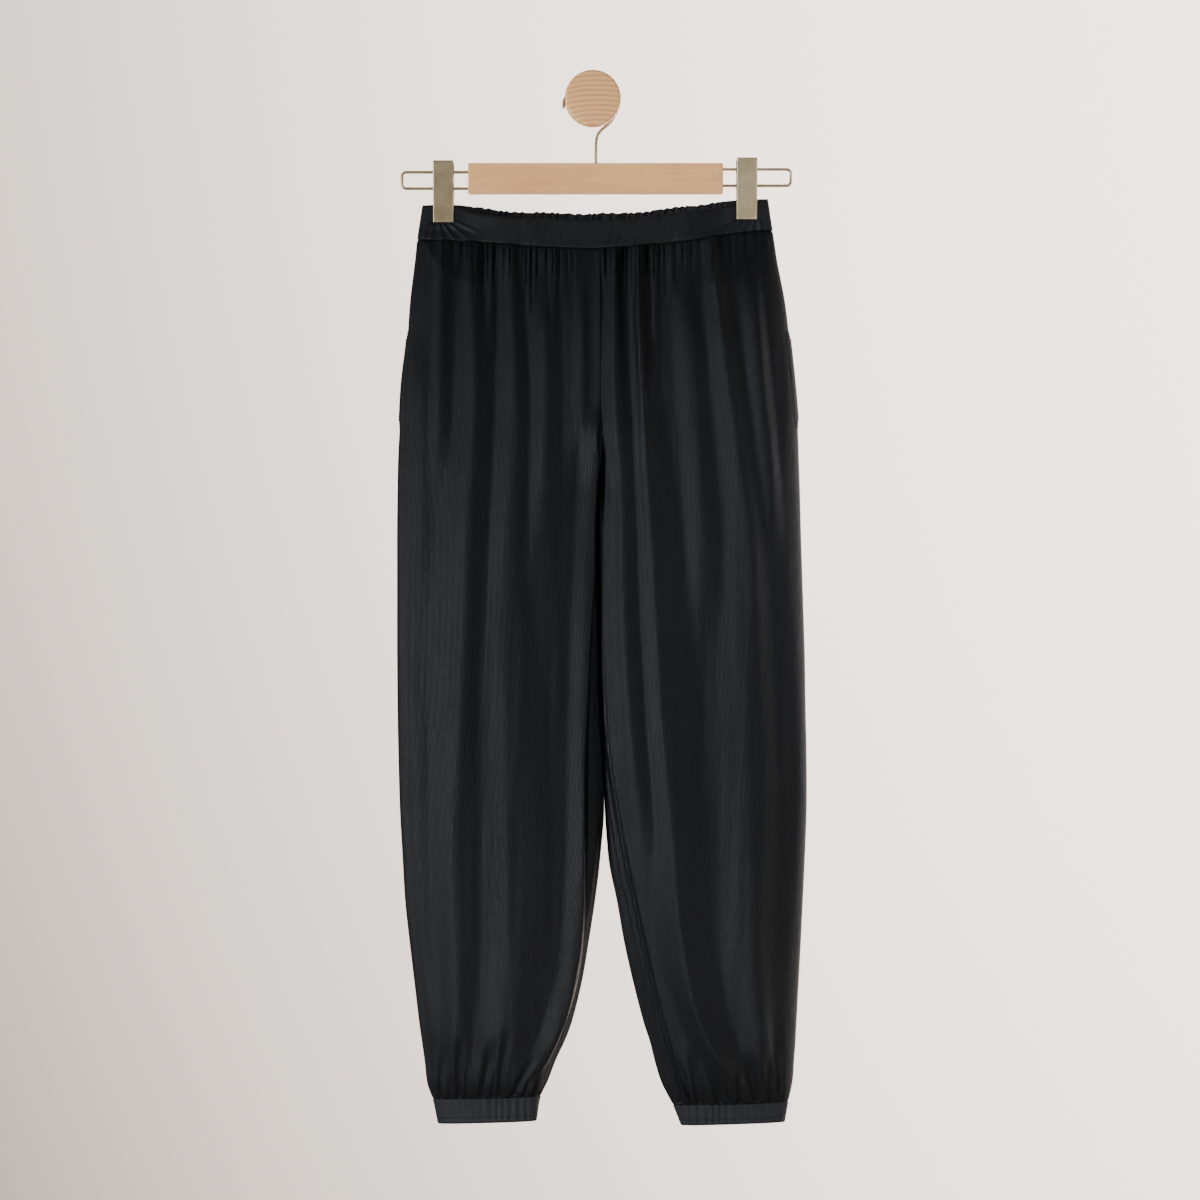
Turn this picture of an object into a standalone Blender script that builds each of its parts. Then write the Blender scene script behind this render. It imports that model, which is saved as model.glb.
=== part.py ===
"""Joggers hung by the waistband from a wooden clip hanger on a round wall peg.

Frame: +Z up, +X to the viewer's right, the viewer looks along +Y at the wall.
The origin is the centre of the peg's back face, on the wall. The pieces of
the garment are named by the wearer's side, so the right leg is on the -X side.

Sizes are millimetres. A drop is a distance down from the top of the waist.
Each half of the garment is a stack of sections worked out from its widths
and depths: flat-sided where the halves join, closed to a tube below the
crotch. Gathers and folds push a section out along its own normal.
"""

import math
from collections import namedtuple

import bmesh
import bpy
from mathutils import Matrix, Vector

MM = 0.001

# Fit
SEAM_GAP = 0.3
HANGER_Y = -31.0
WAIST_Z = -108.0

# Cloth
PANEL_WALL = 1.4
WAISTBAND_WALL = 2.4
CUFF_WALL = 2.2
ROUNDNESS = 2.5
RISE_START = 225.0
CROTCH = 295.0
SEAM_LEVEL = 38.0
SEAM_FADE = 100.0
CURVE_STEPS = 72
PANEL_COLUMNS = 44
WAISTBAND_COLUMNS = 56
CUFF_COLUMNS = 44
EDGE_EASE = 14.0

# Widths and depths of each half, seen flat from the front.
# outer: the side fold; inner: the centre seam, then the inner fold of the leg;
# seam: where the inseam shows; front, back: depth each side of the hanger's plane.
Row = namedtuple("Row", "drop outer seam inner front back")
RIGHT_ROWS = (
    Row(-8, -177, 7.0, 7.0, 8.5, 8.5),
    Row(2, -178, 7.0, 7.0, 8.5, 8.5),
    Row(35, -183, 7.0, 7.0, 10.0, 10.0),
    Row(58, -185.5, 6.8, 6.8, 12.5, 12.0),
    Row(100, -190.5, 6.5, 6.5, 16.0, 15.0),
    Row(141, -193.5, 6.2, 6.2, 18.5, 17.0),
    Row(183, -198.5, 5.9, 5.9, 20.0, 18.5),
    Row(225, -201, 5.6, 5.6, 21.0, 19.0),
    Row(266, -203, 5.3, 5.3, 22.0, 19.5),
    Row(295, -203.5, 5.2, 5.2, 22.5, 20.0),
    Row(334, -204, 1.8, 3.0, 23.0, 20.0),
    Row(384, -204, -0.4, 3.2, 23.0, 20.0),
    Row(463, -204, -5.2, 5.1, 23.0, 20.0),
    Row(523, -203.5, -8.3, 6.4, 23.0, 20.0),
    Row(576, -202.5, -10.4, 9.3, 22.5, 20.0),
    Row(628, -201, -10.4, 11.2, 22.0, 20.0),
    Row(682, -198, -10.6, 7.3, 22.0, 20.0),
    Row(724, -195.5, -11.5, 2.1, 21.5, 19.5),
    Row(765, -191, -14.6, -4.2, 21.0, 19.0),
    Row(807, -186, -21.5, -11.4, 20.5, 18.5),
    Row(849, -181, -31.5, -21.8, 20.0, 18.0),
    Row(869, -178, -38.0, -29.0, 19.0, 17.0),
    Row(890, -175, -49.0, -38.5, 17.5, 16.0),
    Row(911, -172.5, -60.0, -46.5, 14.5, 14.0),
    Row(927, -167, -65.0, -54.0, 10.0, 10.0),
    Row(953, -161.5, -68.0, -58.5, 8.5, 8.5),
)
LEFT_ROWS = (
    Row(-8, 182, 7.0, 7.0, 8.5, 8.5),
    Row(2, 183.5, 7.0, 7.0, 8.5, 8.5),
    Row(35, 188.5, 7.0, 7.0, 10.0, 10.0),
    Row(58, 192, 6.8, 6.8, 12.5, 12.0),
    Row(100, 200, 6.5, 6.5, 16.0, 15.0),
    Row(141, 205, 6.2, 6.2, 18.5, 17.0),
    Row(183, 209.5, 5.9, 5.9, 20.0, 18.5),
    Row(225, 213, 5.6, 5.6, 21.0, 19.0),
    Row(266, 214.5, 5.3, 5.3, 22.0, 19.5),
    Row(295, 215.5, 5.2, 5.2, 22.5, 20.0),
    Row(334, 216.5, 5.0, 4.4, 23.0, 20.0),
    Row(384, 218, 5.6, 4.8, 23.5, 20.0),
    Row(463, 220.5, 7.4, 6.4, 24.0, 20.0),
    Row(523, 221.5, 9.4, 7.6, 24.0, 20.0),
    Row(576, 222.5, 14.0, 10.6, 24.0, 20.0),
    Row(628, 222.5, 21.8, 12.6, 24.0, 20.0),
    Row(682, 220.5, 31.0, 16.5, 23.5, 20.0),
    Row(724, 218.5, 40.0, 25.0, 23.0, 19.5),
    Row(765, 216.5, 48.9, 32.2, 22.5, 19.0),
    Row(807, 214.2, 59.3, 41.6, 22.0, 18.5),
    Row(849, 212, 69.7, 52.5, 21.0, 18.0),
    Row(869, 211, 75.9, 59.3, 20.5, 17.5),
    Row(890, 209.5, 82.2, 64.8, 19.0, 17.0),
    Row(911, 208, 89.5, 71.8, 16.0, 15.0),
    Row(933, 203.5, 98.0, 83.0, 10.0, 10.0),
    Row(955, 199.7, 104.0, 91.5, 8.5, 8.5),
)

# A half's side points from its outer fold to its inner one.
Half = namedtuple("Half", "name side rows hem cuff_end cuff_tilt")
RIGHT = Half("right", 1, RIGHT_ROWS, 927.0, 953.0, -0.028)
LEFT = Half("left", -1, LEFT_ROWS, 933.0, 954.5, -0.032)

# Edges of the waistband across the front, as drops.
Edge = namedtuple("Edge", "x front_top back_top seam")
WAIST_EDGES = (
    Edge(-190, -0.5, -0.5, 34.8),
    Edge(-167, 0.0, -1.5, 35.8),
    Edge(-146, 1.5, -1.0, 36.6),
    Edge(-125, 8.0, 1.5, 37.6),
    Edge(-100, 12.0, 4.0, 39.8),
    Edge(-61, 14.0, 6.0, 43.0),
    Edge(7, 15.6, 7.0, 45.0),
    Edge(52, 12.5, 5.0, 41.8),
    Edge(106, 5.6, -1.0, 35.8),
    Edge(149, 0.0, -5.5, 28.2),
    Edge(172, -4.5, -7.0, 26.4),
    Edge(195, -6.5, -7.5, 26.0),
)

# Levels of the rows of points down a panel; the last two follow the hem.
PANEL_LEVELS = (SEAM_LEVEL, 44.0, 58.0, 95.0, 150.0, RISE_START, 265.0, CROTCH,
                350.0, 450.0, 560.0, 670.0, 780.0, 868.0)
HEM_BULGE = 19.0

# Waist gathers and cuff gathers
WAIST_GATHER_HEIGHT = 3.0
WAIST_GATHER_LENGTH = (55.0, 125.0)
CUFF_GATHER_HEIGHT = 2.2
CUFF_GATHER_LENGTH = 62.0
CUFF_GATHER_COLUMNS = 4
RUCHE_HEIGHT = 0.9
GOLDEN = 0.618034

# Long folds: the line x takes from its top drop through its middle to its
# bottom drop, half the fold's width, and its height, a trough's below zero.
Fold = namedtuple("Fold", "top bottom x_top x_middle x_bottom width height")
FRONT_FOLDS = (
    Fold(50, 205, -153, -154, -156, 9, -2.5),
    Fold(90, 285, -130, -129, -128, 11, 3.0),
    Fold(50, 330, -120, -118, -117, 9, -3.0),
    Fold(270, 850, -118, -129, -141, 13, -4.5),
    Fold(75, 285, -88, -88, -86, 10, 3.0),
    Fold(50, 160, -81, -78, -75, 8, -2.5),
    Fold(50, 350, -38, -38, -44, 11, -3.5),
    Fold(270, 420, -21, -22, -25, 13, 3.0),
    Fold(300, 560, -98, -97, -95, 24, 4.0),
    Fold(600, 860, -72, -76, -88, 13, -4.0),
    Fold(560, 850, -154, -155, -158, 18, 4.0),
    Fold(680, 830, -100, -99, -102, 15, 3.5),
    Fold(670, 800, -36, -37, -45, 13, 3.0),
    Fold(60, 590, 16, 19, 33, 10, 4.5),
    Fold(95, 660, 44, 56, 78, 11, 4.5),
    Fold(600, 925, 73, 87, 145, 12, 5.5),
    Fold(280, 480, 39, 41, 43, 10, -3.0),
    Fold(70, 330, 84, 99, 108, 12, 3.5),
    Fold(310, 760, 80, 91, 102, 17, -5.0),
    Fold(45, 620, 121, 142, 144, 15, 4.5),
    Fold(590, 922, 142, 143, 183, 15, 5.0),
    Fold(75, 270, 159, 167, 174, 10, 3.0),
    Fold(180, 420, 150, 166, 170, 12, -3.0),
    Fold(835, 922, 186, 188, 190, 9, -3.0),
)
BACK_FOLDS = (
    Fold(50, 240, -150, -151, -155, 11, 3.0),
    Fold(60, 420, -112, -120, -126, 12, -3.0),
    Fold(60, 300, -70, -64, -52, 13, 3.5),
    Fold(230, 430, -30, -48, -84, 15, -4.0),
    Fold(300, 800, -150, -146, -152, 18, 4.0),
    Fold(380, 860, -70, -84, -104, 16, -4.5),
    Fold(640, 900, -50, -66, -92, 14, 4.0),
    Fold(50, 270, 152, 160, 168, 11, 3.0),
    Fold(60, 400, 118, 126, 134, 12, -3.0),
    Fold(60, 300, 76, 70, 60, 13, 3.5),
    Fold(230, 440, 38, 58, 96, 15, -4.0),
    Fold(300, 760, 176, 172, 170, 18, 4.0),
    Fold(400, 880, 84, 100, 128, 16, -4.5),
    Fold(650, 910, 66, 92, 122, 14, 4.0),
)

# Clips: where each holds the waist, and the shape of its plates
Clip = namedtuple("Clip", "name x barrel_z")
CLIPS = (Clip("clip_right", -155.5, -81.5), Clip("clip_left", 160.0, -78.5))
CLIP_WIDTH = 21.5
CLIP_PLATE = 1.2
PINCH_DEPTH = 3.0
PINCH_INNER_REACH = 20.0
PINCH_EASE = 45.0
PINCH_END = 26.0
PINCH_OPENING = 0.2
JAW_DROP = 44.0
BARREL_RADIUS = 6.7
# Inner face of a plate: height over the barrel's axis and distance from the
# hanger's plane, from the finger end down to the jaw.
PLATE_PROFILE = ((19.5, 10.2), (8.0, 7.9), (0.0, 7.0), (-12.0, 6.2),
                 (-24.0, 4.4), (-31.0, 3.3), (-JAW_DROP, 3.3))

# Hanger
BAR_SIZE = (265.0, 12.0, 31.5)
BAR_CENTRE = (2.7, HANGER_Y, -79.8)
BAR_BEVEL = 1.2
WIRE_RADIUS = 1.5
WIRE_SPACING = 17.0
WIRE_CORNER = 4.5
WIRE_DEPTH_IN_BAR = 14.0
WIRE_END_X = {"right": -198.6, "left": 205.8}
WIRE_Z = {"right": -81.5, "left": -78.5}
HOOK_RADIUS = 1.65
HOOK_DEPTH_IN_BAR = 14.0
HOOK_STEM_X = 3.1
# Centre line of the hook, from its tip over the peg and down to the bar.
HOOK_PATH = ((-30.6, -5.2), (-29.0, 3.4), (-21.8, 10.0), (-11.4, 13.6), (0.0, 14.55),
             (10.4, 12.6), (19.6, 6.4), (24.4, -3.0), (22.9, -13.6), (16.6, -22.4),
             (10.0, -28.0), (5.4, -34.0), (3.4, -42.0), (HOOK_STEM_X, -52.0))
HOOK_STEPS = 2

# Wall peg: a turned profile, distance from the wall and radius
PEG_STEM_RADIUS = 12.6
PEG_DISC_RADIUS = 29.0
PEG_PROFILE = ((0.0, 0.0), (0.0, PEG_STEM_RADIUS), (45.0, PEG_STEM_RADIUS),
               (45.0, 27.6), (46.4, PEG_DISC_RADIUS), (57.0, PEG_DISC_RADIUS),
               (58.6, 28.2), (59.4, 26.4), (59.4, 0.0))
PEG_STEPS = 40


def clear_scene():
    for thing in list(bpy.data.objects):
        bpy.data.objects.remove(thing, do_unlink=True)


def new_collection(name):
    collection = bpy.data.collections.new(name)
    bpy.context.scene.collection.children.link(collection)
    return collection


def new_material(name, colour, roughness, metallic=0.0):
    material = bpy.data.materials.new(name)
    material.use_nodes = True
    shader = material.node_tree.nodes["Principled BSDF"]
    shader.inputs["Base Color"].default_value = (*colour, 1.0)
    shader.inputs["Roughness"].default_value = roughness
    shader.inputs["Metallic"].default_value = metallic
    return material


def ease(value):
    """Smooth step from 0 to 1."""
    value = min(max(value, 0.0), 1.0)
    return value * value * (3.0 - 2.0 * value)


def along(rows, key, column, at):
    """Value of a table's column at a place, on a smooth curve through its rows."""
    places = [getattr(row, key) for row in rows]
    values = [getattr(row, column) for row in rows]
    last = len(rows) - 1
    low = 0
    while low < last - 1 and at > places[low + 1]:
        low += 1

    def slope(index):
        before = max(index - 1, 0)
        after = min(index + 1, last)
        return (values[after] - values[before]) / (places[after] - places[before])

    span = places[low + 1] - places[low]
    part = min(max((at - places[low]) / span, 0.0), 1.0)
    rest = 1.0 - part
    return (values[low] * (1.0 + 2.0 * part) * rest * rest
            + slope(low) * span * part * rest * rest
            + values[low + 1] * part * part * (3.0 - 2.0 * part)
            - slope(low + 1) * span * part * part * rest)


def pinched(depth, x, drop, wall_inset):
    """Depth of the cloth where the clips press it flat, easing out sideways and down."""
    limit = PINCH_DEPTH + PINCH_OPENING * max(drop - PINCH_END, 0.0) - wall_inset
    for clip in CLIPS:
        inward = (clip.x - x) * math.copysign(1.0, clip.x)
        share = 1.0 - ease((inward - PINCH_INNER_REACH) / PINCH_EASE)
        if x * clip.x > 0.0 and depth > limit:
            depth += (limit - depth) * share
    return depth


def section(half, drop, inset):
    """Front and back curves of a half at a drop, from its outer fold inwards.

    The inset brings the curves in from the cloth's face, for the wall's inside.
    """
    closed = ease((drop - RISE_START) / (CROTCH - RISE_START))
    outer = along(half.rows, "drop", "outer", drop) + half.side * inset
    inner = along(half.rows, "drop", "inner", drop)
    inner -= half.side * (SEAM_GAP / 2.0 + inset * closed)
    middle = (outer + inner) / 2.0
    reach = (inner - outer) / 2.0
    depths = [along(half.rows, "drop", column, drop) - inset for column in ("front", "back")]
    curves = ([], [])
    for step in range(CURVE_STEPS + 1):
        cosine = math.cos(math.pi * step / CURVE_STEPS)
        sine = max(math.sin(math.pi * step / CURVE_STEPS), 0.0)
        across = -math.copysign(abs(cosine) ** (2.0 / ROUNDNESS), cosine)
        lift = sine ** (2.0 / ROUNDNESS)
        if step > CURVE_STEPS / 2:
            lift = 1.0 - closed * (1.0 - lift)
        x = middle + reach * across
        for curve, depth, direction in zip(curves, depths, (-1.0, 1.0)):
            curve.append(Vector((x, direction * pinched(depth * lift, x, drop, inset))))
    return curves


def cut_at(curve, half, x):
    """Part of a front curve from the outer fold to the place where it passes x."""
    kept = [curve[0]]
    for start, end in zip(curve, curve[1:]):
        if (end.x - x) * half.side > 0.0:
            kept.append(start.lerp(end, (x - start.x) / (end.x - start.x)))
            return kept
        kept.append(end)
    return kept


def panel_curve(half, face, drop, inset):
    """Curve of a front or back panel at a drop, from the side seam to its other edge."""
    front, back = section(half, drop, inset)
    if drop <= CROTCH:
        return front if face == "front" else back
    seam = along(half.rows, "drop", "seam", drop)
    kept = cut_at(front, half, seam)
    if face == "front":
        return kept
    return back + list(reversed(front[len(kept) - 1:-1])) + [kept[-1]]


def point_on(curve, share, margins):
    """Point and outward normal at a share of a curve's length, between margins at its ends."""
    first, last = margins
    lengths = [(end - start).length for start, end in zip(curve, curve[1:])]
    wanted = first + share * (sum(lengths) - first - last)
    for start, end, length in zip(curve, curve[1:], lengths):
        if wanted <= length and length > 0.0:
            break
        wanted -= length
    heading = (end - start).normalized()
    return start + heading * wanted, Vector((heading.y, -heading.x))


def seam_drop(x, level):
    """Drop of a row of points: the upper rows follow the waist seam."""
    shift = along(WAIST_EDGES, "x", "seam", x) - SEAM_LEVEL
    return level + shift * (1.0 - ease((level - SEAM_LEVEL) / SEAM_FADE))


def hem_shift(half, x, level):
    """Tilt of the hem and the cuff across the leg."""
    rows = half.rows
    middle = (along(rows, "drop", "outer", half.hem) + along(rows, "drop", "inner", half.hem)) / 2.0
    return half.cuff_tilt * (x - middle) * ease((level - half.hem + 90.0) / 70.0)


def fold_height(folds, x, drop):
    """Height of the long folds at a place on the front or the back."""
    height = 0.0
    for fold in folds:
        if not fold.top < drop < fold.bottom:
            continue
        part = (drop - fold.top) / (fold.bottom - fold.top)
        line = (fold.x_top * (1.0 - part) * (1.0 - 2.0 * part)
                + fold.x_middle * 4.0 * part * (1.0 - part)
                + fold.x_bottom * part * (2.0 * part - 1.0))
        offset = abs(x - line) / fold.width
        if offset < 1.0:
            height += fold.height * ease(1.0 - offset) * ease(4.0 * min(part, 1.0 - part))
    return height


def gather_height(half, column, level):
    """Height of the waist gathers and the cuff gathers at a column of a panel."""
    share = (column * GOLDEN) % 1.0
    shortest, longest = WAIST_GATHER_LENGTH
    length = shortest + (longest - shortest) * share
    below_seam = level - SEAM_LEVEL
    height = 0.0
    if column % 2 == 1 and below_seam > 0.0:
        height += WAIST_GATHER_HEIGHT * (0.7 + 0.3 * share) * (1.0 - ease(below_seam / length))
    above_hem = half.hem - level
    if 0.0 < above_hem < CUFF_GATHER_LENGTH:
        wave = 0.5 - 0.5 * math.cos(2.0 * math.pi * column / CUFF_GATHER_COLUMNS)
        height += CUFF_GATHER_HEIGHT * wave * (1.0 - above_hem / CUFF_GATHER_LENGTH)
    return height


def panel_point(half, face, column, level, inset):
    """Point of a panel's wall, with its gathers and folds."""
    share = column / PANEL_COLUMNS
    flat, _ = point_on(panel_curve(half, face, level, 0.0), share, (0.0, 0.0))
    drop = seam_drop(flat.x, level)
    closed = ease((drop - RISE_START) / (CROTCH - RISE_START))
    margins = (SEAM_GAP / 2.0, SEAM_GAP / 2.0 * closed)
    curve = panel_curve(half, face, drop, 0.0)
    surface, normal = point_on(curve, share, margins)
    place, _ = point_on(panel_curve(half, face, drop, inset), share, margins)
    if face == "back":
        normal = -normal
    normal *= half.side
    outer = along(half.rows, "drop", "outer", drop)
    inner = along(half.rows, "drop", "inner", drop)
    edge = abs(surface.x - outer)
    if drop > RISE_START:
        edge = min(edge, abs(inner - surface.x) + (1.0 - closed) * EDGE_EASE)
    taper = ease(edge / EDGE_EASE)
    folds = FRONT_FOLDS if surface.y < 0.0 else BACK_FOLDS
    hem_taper = ease((half.hem - level) / (0.6 * HEM_BULGE))
    height = taper * (fold_height(folds, surface.x, drop) * hem_taper
                      + gather_height(half, column, level))
    place += normal * height
    down = drop + hem_shift(half, surface.x, level)
    if level == SEAM_LEVEL:
        down += SEAM_GAP / 2.0
    if level == half.hem:
        down -= SEAM_GAP / 2.0
    return Vector((place.x, place.y + HANGER_Y, WAIST_Z - down)) * MM


def wall_mesh(name, faces_out, faces_in, ring, material, collection):
    """Closed wall between two grids of points, each a list of rows; a ring joins end to end."""
    mesh = bpy.data.meshes.new(name)
    thing = bpy.data.objects.new(name, mesh)
    collection.objects.link(thing)
    shell = bmesh.new()
    outside = [[shell.verts.new(point) for point in row] for row in faces_out]
    inside = [[shell.verts.new(point) for point in row] for row in faces_in]
    rows = len(outside)
    columns = len(outside[0])
    spans = range(columns) if ring else range(columns - 1)

    def strip(upper, lower, reverse):
        for left in spans:
            right = (left + 1) % columns
            for corners in ((upper[left], lower[left], lower[right]),
                            (upper[left], lower[right], upper[right])):
                shell.faces.new(tuple(reversed(corners)) if reverse else corners)

    for row in range(rows - 1):
        strip(outside[row], outside[row + 1], False)
        strip(inside[row], inside[row + 1], True)
    strip(inside[0], outside[0], False)
    strip(outside[-1], inside[-1], False)
    if not ring:
        for row in range(rows - 1):
            for column, reverse in ((0, True), (-1, False)):
                corners = (outside[row][column], outside[row + 1][column],
                           inside[row + 1][column], inside[row][column])
                shell.faces.new(tuple(reversed(corners)) if reverse else corners)
    bmesh.ops.recalc_face_normals(shell, faces=shell.faces)
    shell.to_mesh(mesh)
    shell.free()
    mesh.materials.append(material)
    mesh.shade_smooth()
    mesh.set_sharp_from_angle(angle=math.radians(50.0))
    return thing


def make_panel(half, face, material, collection):
    levels = PANEL_LEVELS + (half.hem - HEM_BULGE, half.hem)
    grids = [[[panel_point(half, face, column, level, inset)
               for column in range(PANEL_COLUMNS + 1)]
              for level in levels]
             for inset in (0.0, PANEL_WALL)]
    wall_mesh(f"{face}_{half.name}", *grids, False, material, collection)


def make_waistband(face, material, collection):
    """Front or back half of the waistband, from side seam to side seam."""
    margins = (SEAM_GAP / 2.0, SEAM_GAP / 2.0)

    def band_point(column, height, inset):
        share = column / WAISTBAND_COLUMNS
        right = section(RIGHT, SEAM_LEVEL, 0.0)[face == "back"]
        left = section(LEFT, SEAM_LEVEL, 0.0)[face == "back"]
        guide, _ = point_on(right + list(reversed(left)), share, margins)
        top = along(WAIST_EDGES, "x", f"{face}_top", guide.x)
        bottom = along(WAIST_EDGES, "x", "seam", guide.x) - SEAM_GAP / 2.0
        drop = bottom + (top - bottom) * height
        right = section(RIGHT, drop, inset)[face == "back"]
        left = section(LEFT, drop, inset)[face == "back"]
        place, normal = point_on(right + list(reversed(left)), share, margins)
        if face == "back":
            ends = min(column, WAISTBAND_COLUMNS - column)
            ruche = RUCHE_HEIGHT * (column % 2) * ease((ends - 7) / 3.0)
            place -= normal * ruche
        return Vector((place.x, place.y + HANGER_Y, WAIST_Z - drop)) * MM

    grids = [[[band_point(column, height, inset)
               for column in range(WAISTBAND_COLUMNS + 1)]
              for height in (1.0, 0.5, 0.0)]
             for inset in (0.0, WAISTBAND_WALL)]
    wall_mesh(f"waistband_{face}", *grids, False, material, collection)


def make_cuff(half, material, collection):
    def cuff_point(column, level, inset):
        front, back = section(half, level, inset)
        loop = front + list(reversed(back))
        place, _ = point_on(loop, column / CUFF_COLUMNS, (0.0, 0.0))
        down = level + hem_shift(half, place.x, level)
        return Vector((place.x, place.y + HANGER_Y, WAIST_Z - down)) * MM

    middle = (half.hem + half.cuff_end) / 2.0
    grids = [[[cuff_point(column, level, inset) for column in range(CUFF_COLUMNS)]
              for level in (half.hem + SEAM_GAP / 2.0, middle, half.cuff_end)]
             for inset in (0.0, CUFF_WALL)]
    wall_mesh(f"cuff_{half.name}", *grids, True, material, collection)


def make_wire(name, points, radius, material, collection):
    """Round wire along a line of points, with closed ends."""
    curve = bpy.data.curves.new(name, "CURVE")
    curve.dimensions = "3D"
    curve.bevel_depth = radius * MM
    curve.bevel_resolution = 2
    curve.use_fill_caps = True
    spline = curve.splines.new("POLY")
    spline.points.add(len(points) - 1)
    for target, point in zip(spline.points, points):
        target.co = (*(Vector(point) * MM), 1.0)
    curve.materials.append(material)
    thing = bpy.data.objects.new(name, curve)
    collection.objects.link(thing)
    return thing


def smooth_path(points, steps):
    """Points along a smooth curve through the given ones."""
    ends = [points[0] * 2 - points[1], *points, points[-1] * 2 - points[-2]]
    path = []
    for index in range(1, len(ends) - 2):
        for step in range(steps):
            part = step / steps
            before, start, end, after = ends[index - 1:index + 3]
            path.append(start + 0.5 * part * (
                end - before + part * (2 * before - 5 * start + 4 * end - after
                                       + part * (3 * (start - end) + after - before))))
    return path + [points[-1]]


def bore(target, radius, centre, axis, depth, cutters):
    """Blind round hole: a hidden cylinder subtracted from its target."""
    mesh = bpy.data.meshes.new("bore")
    tool = bmesh.new()
    bmesh.ops.create_cone(tool, cap_ends=True, segments=16, radius1=radius * MM,
                          radius2=radius * MM, depth=depth * MM)
    turn = Vector((0.0, 0.0, 1.0)).rotation_difference(axis).to_matrix().to_4x4()
    bmesh.ops.transform(tool, matrix=Matrix.Translation(Vector(centre) * MM) @ turn,
                        verts=tool.verts)
    tool.to_mesh(mesh)
    tool.free()
    cutter = bpy.data.objects.new("bore", mesh)
    cutter.hide_render = True
    cutter.display_type = "WIRE"
    cutters.objects.link(cutter)
    cut = target.modifiers.new("bore", "BOOLEAN")
    cut.solver = "EXACT"
    cut.operation = "DIFFERENCE"
    cut.object = cutter


def make_bar(material, collection, cutters):
    """Wooden bar, with blind holes for the hook and for both wire loops."""
    bpy.ops.mesh.primitive_cube_add(size=1.0)
    bar = bpy.context.object
    bar.name = "hanger_bar"
    bar.data.transform(Matrix.Diagonal((*(side * MM for side in BAR_SIZE), 1.0)))
    bar.location = Vector(BAR_CENTRE) * MM
    for owner in list(bar.users_collection):
        owner.objects.unlink(bar)
    collection.objects.link(bar)
    rounding = bar.modifiers.new("rounded edges", "BEVEL")
    rounding.width = BAR_BEVEL * MM
    rounding.segments = 2
    hole = WIRE_RADIUS + SEAM_GAP
    deep = WIRE_DEPTH_IN_BAR + SEAM_GAP
    for side, sign in (("right", -1.0), ("left", 1.0)):
        face = BAR_CENTRE[0] + sign * BAR_SIZE[0] / 2.0
        for level in (-0.5, 0.5):
            centre = (face, HANGER_Y, WIRE_Z[side] + level * WIRE_SPACING)
            bore(bar, hole, centre, Vector((1.0, 0.0, 0.0)), 2.0 * deep, cutters)
    top = BAR_CENTRE[2] + BAR_SIZE[2] / 2.0
    deep = HOOK_DEPTH_IN_BAR + SEAM_GAP
    bore(bar, HOOK_RADIUS + SEAM_GAP, (HOOK_STEM_X, HANGER_Y, top),
         Vector((0.0, 0.0, 1.0)), 2.0 * deep, cutters)
    bar.data.materials.append(material)


def make_wire_loop(side, material, collection):
    """Wire loop at one end of the bar: out, round two corners and back in."""
    sign = -1.0 if side == "right" else 1.0
    start = BAR_CENTRE[0] + sign * (BAR_SIZE[0] / 2.0 - WIRE_DEPTH_IN_BAR)
    end = WIRE_END_X[side]
    half_spacing = WIRE_SPACING / 2.0
    points = [(start, half_spacing)]
    for corner in (1.0, -1.0):
        for step in range(5):
            angle = math.radians(22.5 * step)
            out = WIRE_CORNER * math.sin(angle)
            turn = WIRE_CORNER * math.cos(angle)
            if corner < 0.0:
                out, turn = turn, out
            points.append((end - sign * (WIRE_CORNER - out),
                           corner * (half_spacing - WIRE_CORNER + turn)))
    points.append((start, -half_spacing))
    route = [(x, HANGER_Y, WIRE_Z[side] + z) for x, z in points]
    make_wire(f"hanger_wire_{side}", route, WIRE_RADIUS, material, collection)


def make_hook(material, collection):
    top = BAR_CENTRE[2] + BAR_SIZE[2] / 2.0
    line = [Vector((x, HANGER_Y, z)) for x, z in HOOK_PATH]
    path = smooth_path(line, HOOK_STEPS)
    path.append(Vector((HOOK_STEM_X, HANGER_Y, top - HOOK_DEPTH_IN_BAR)))
    make_wire("hanger_hook", path, HOOK_RADIUS, material, collection)


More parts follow.
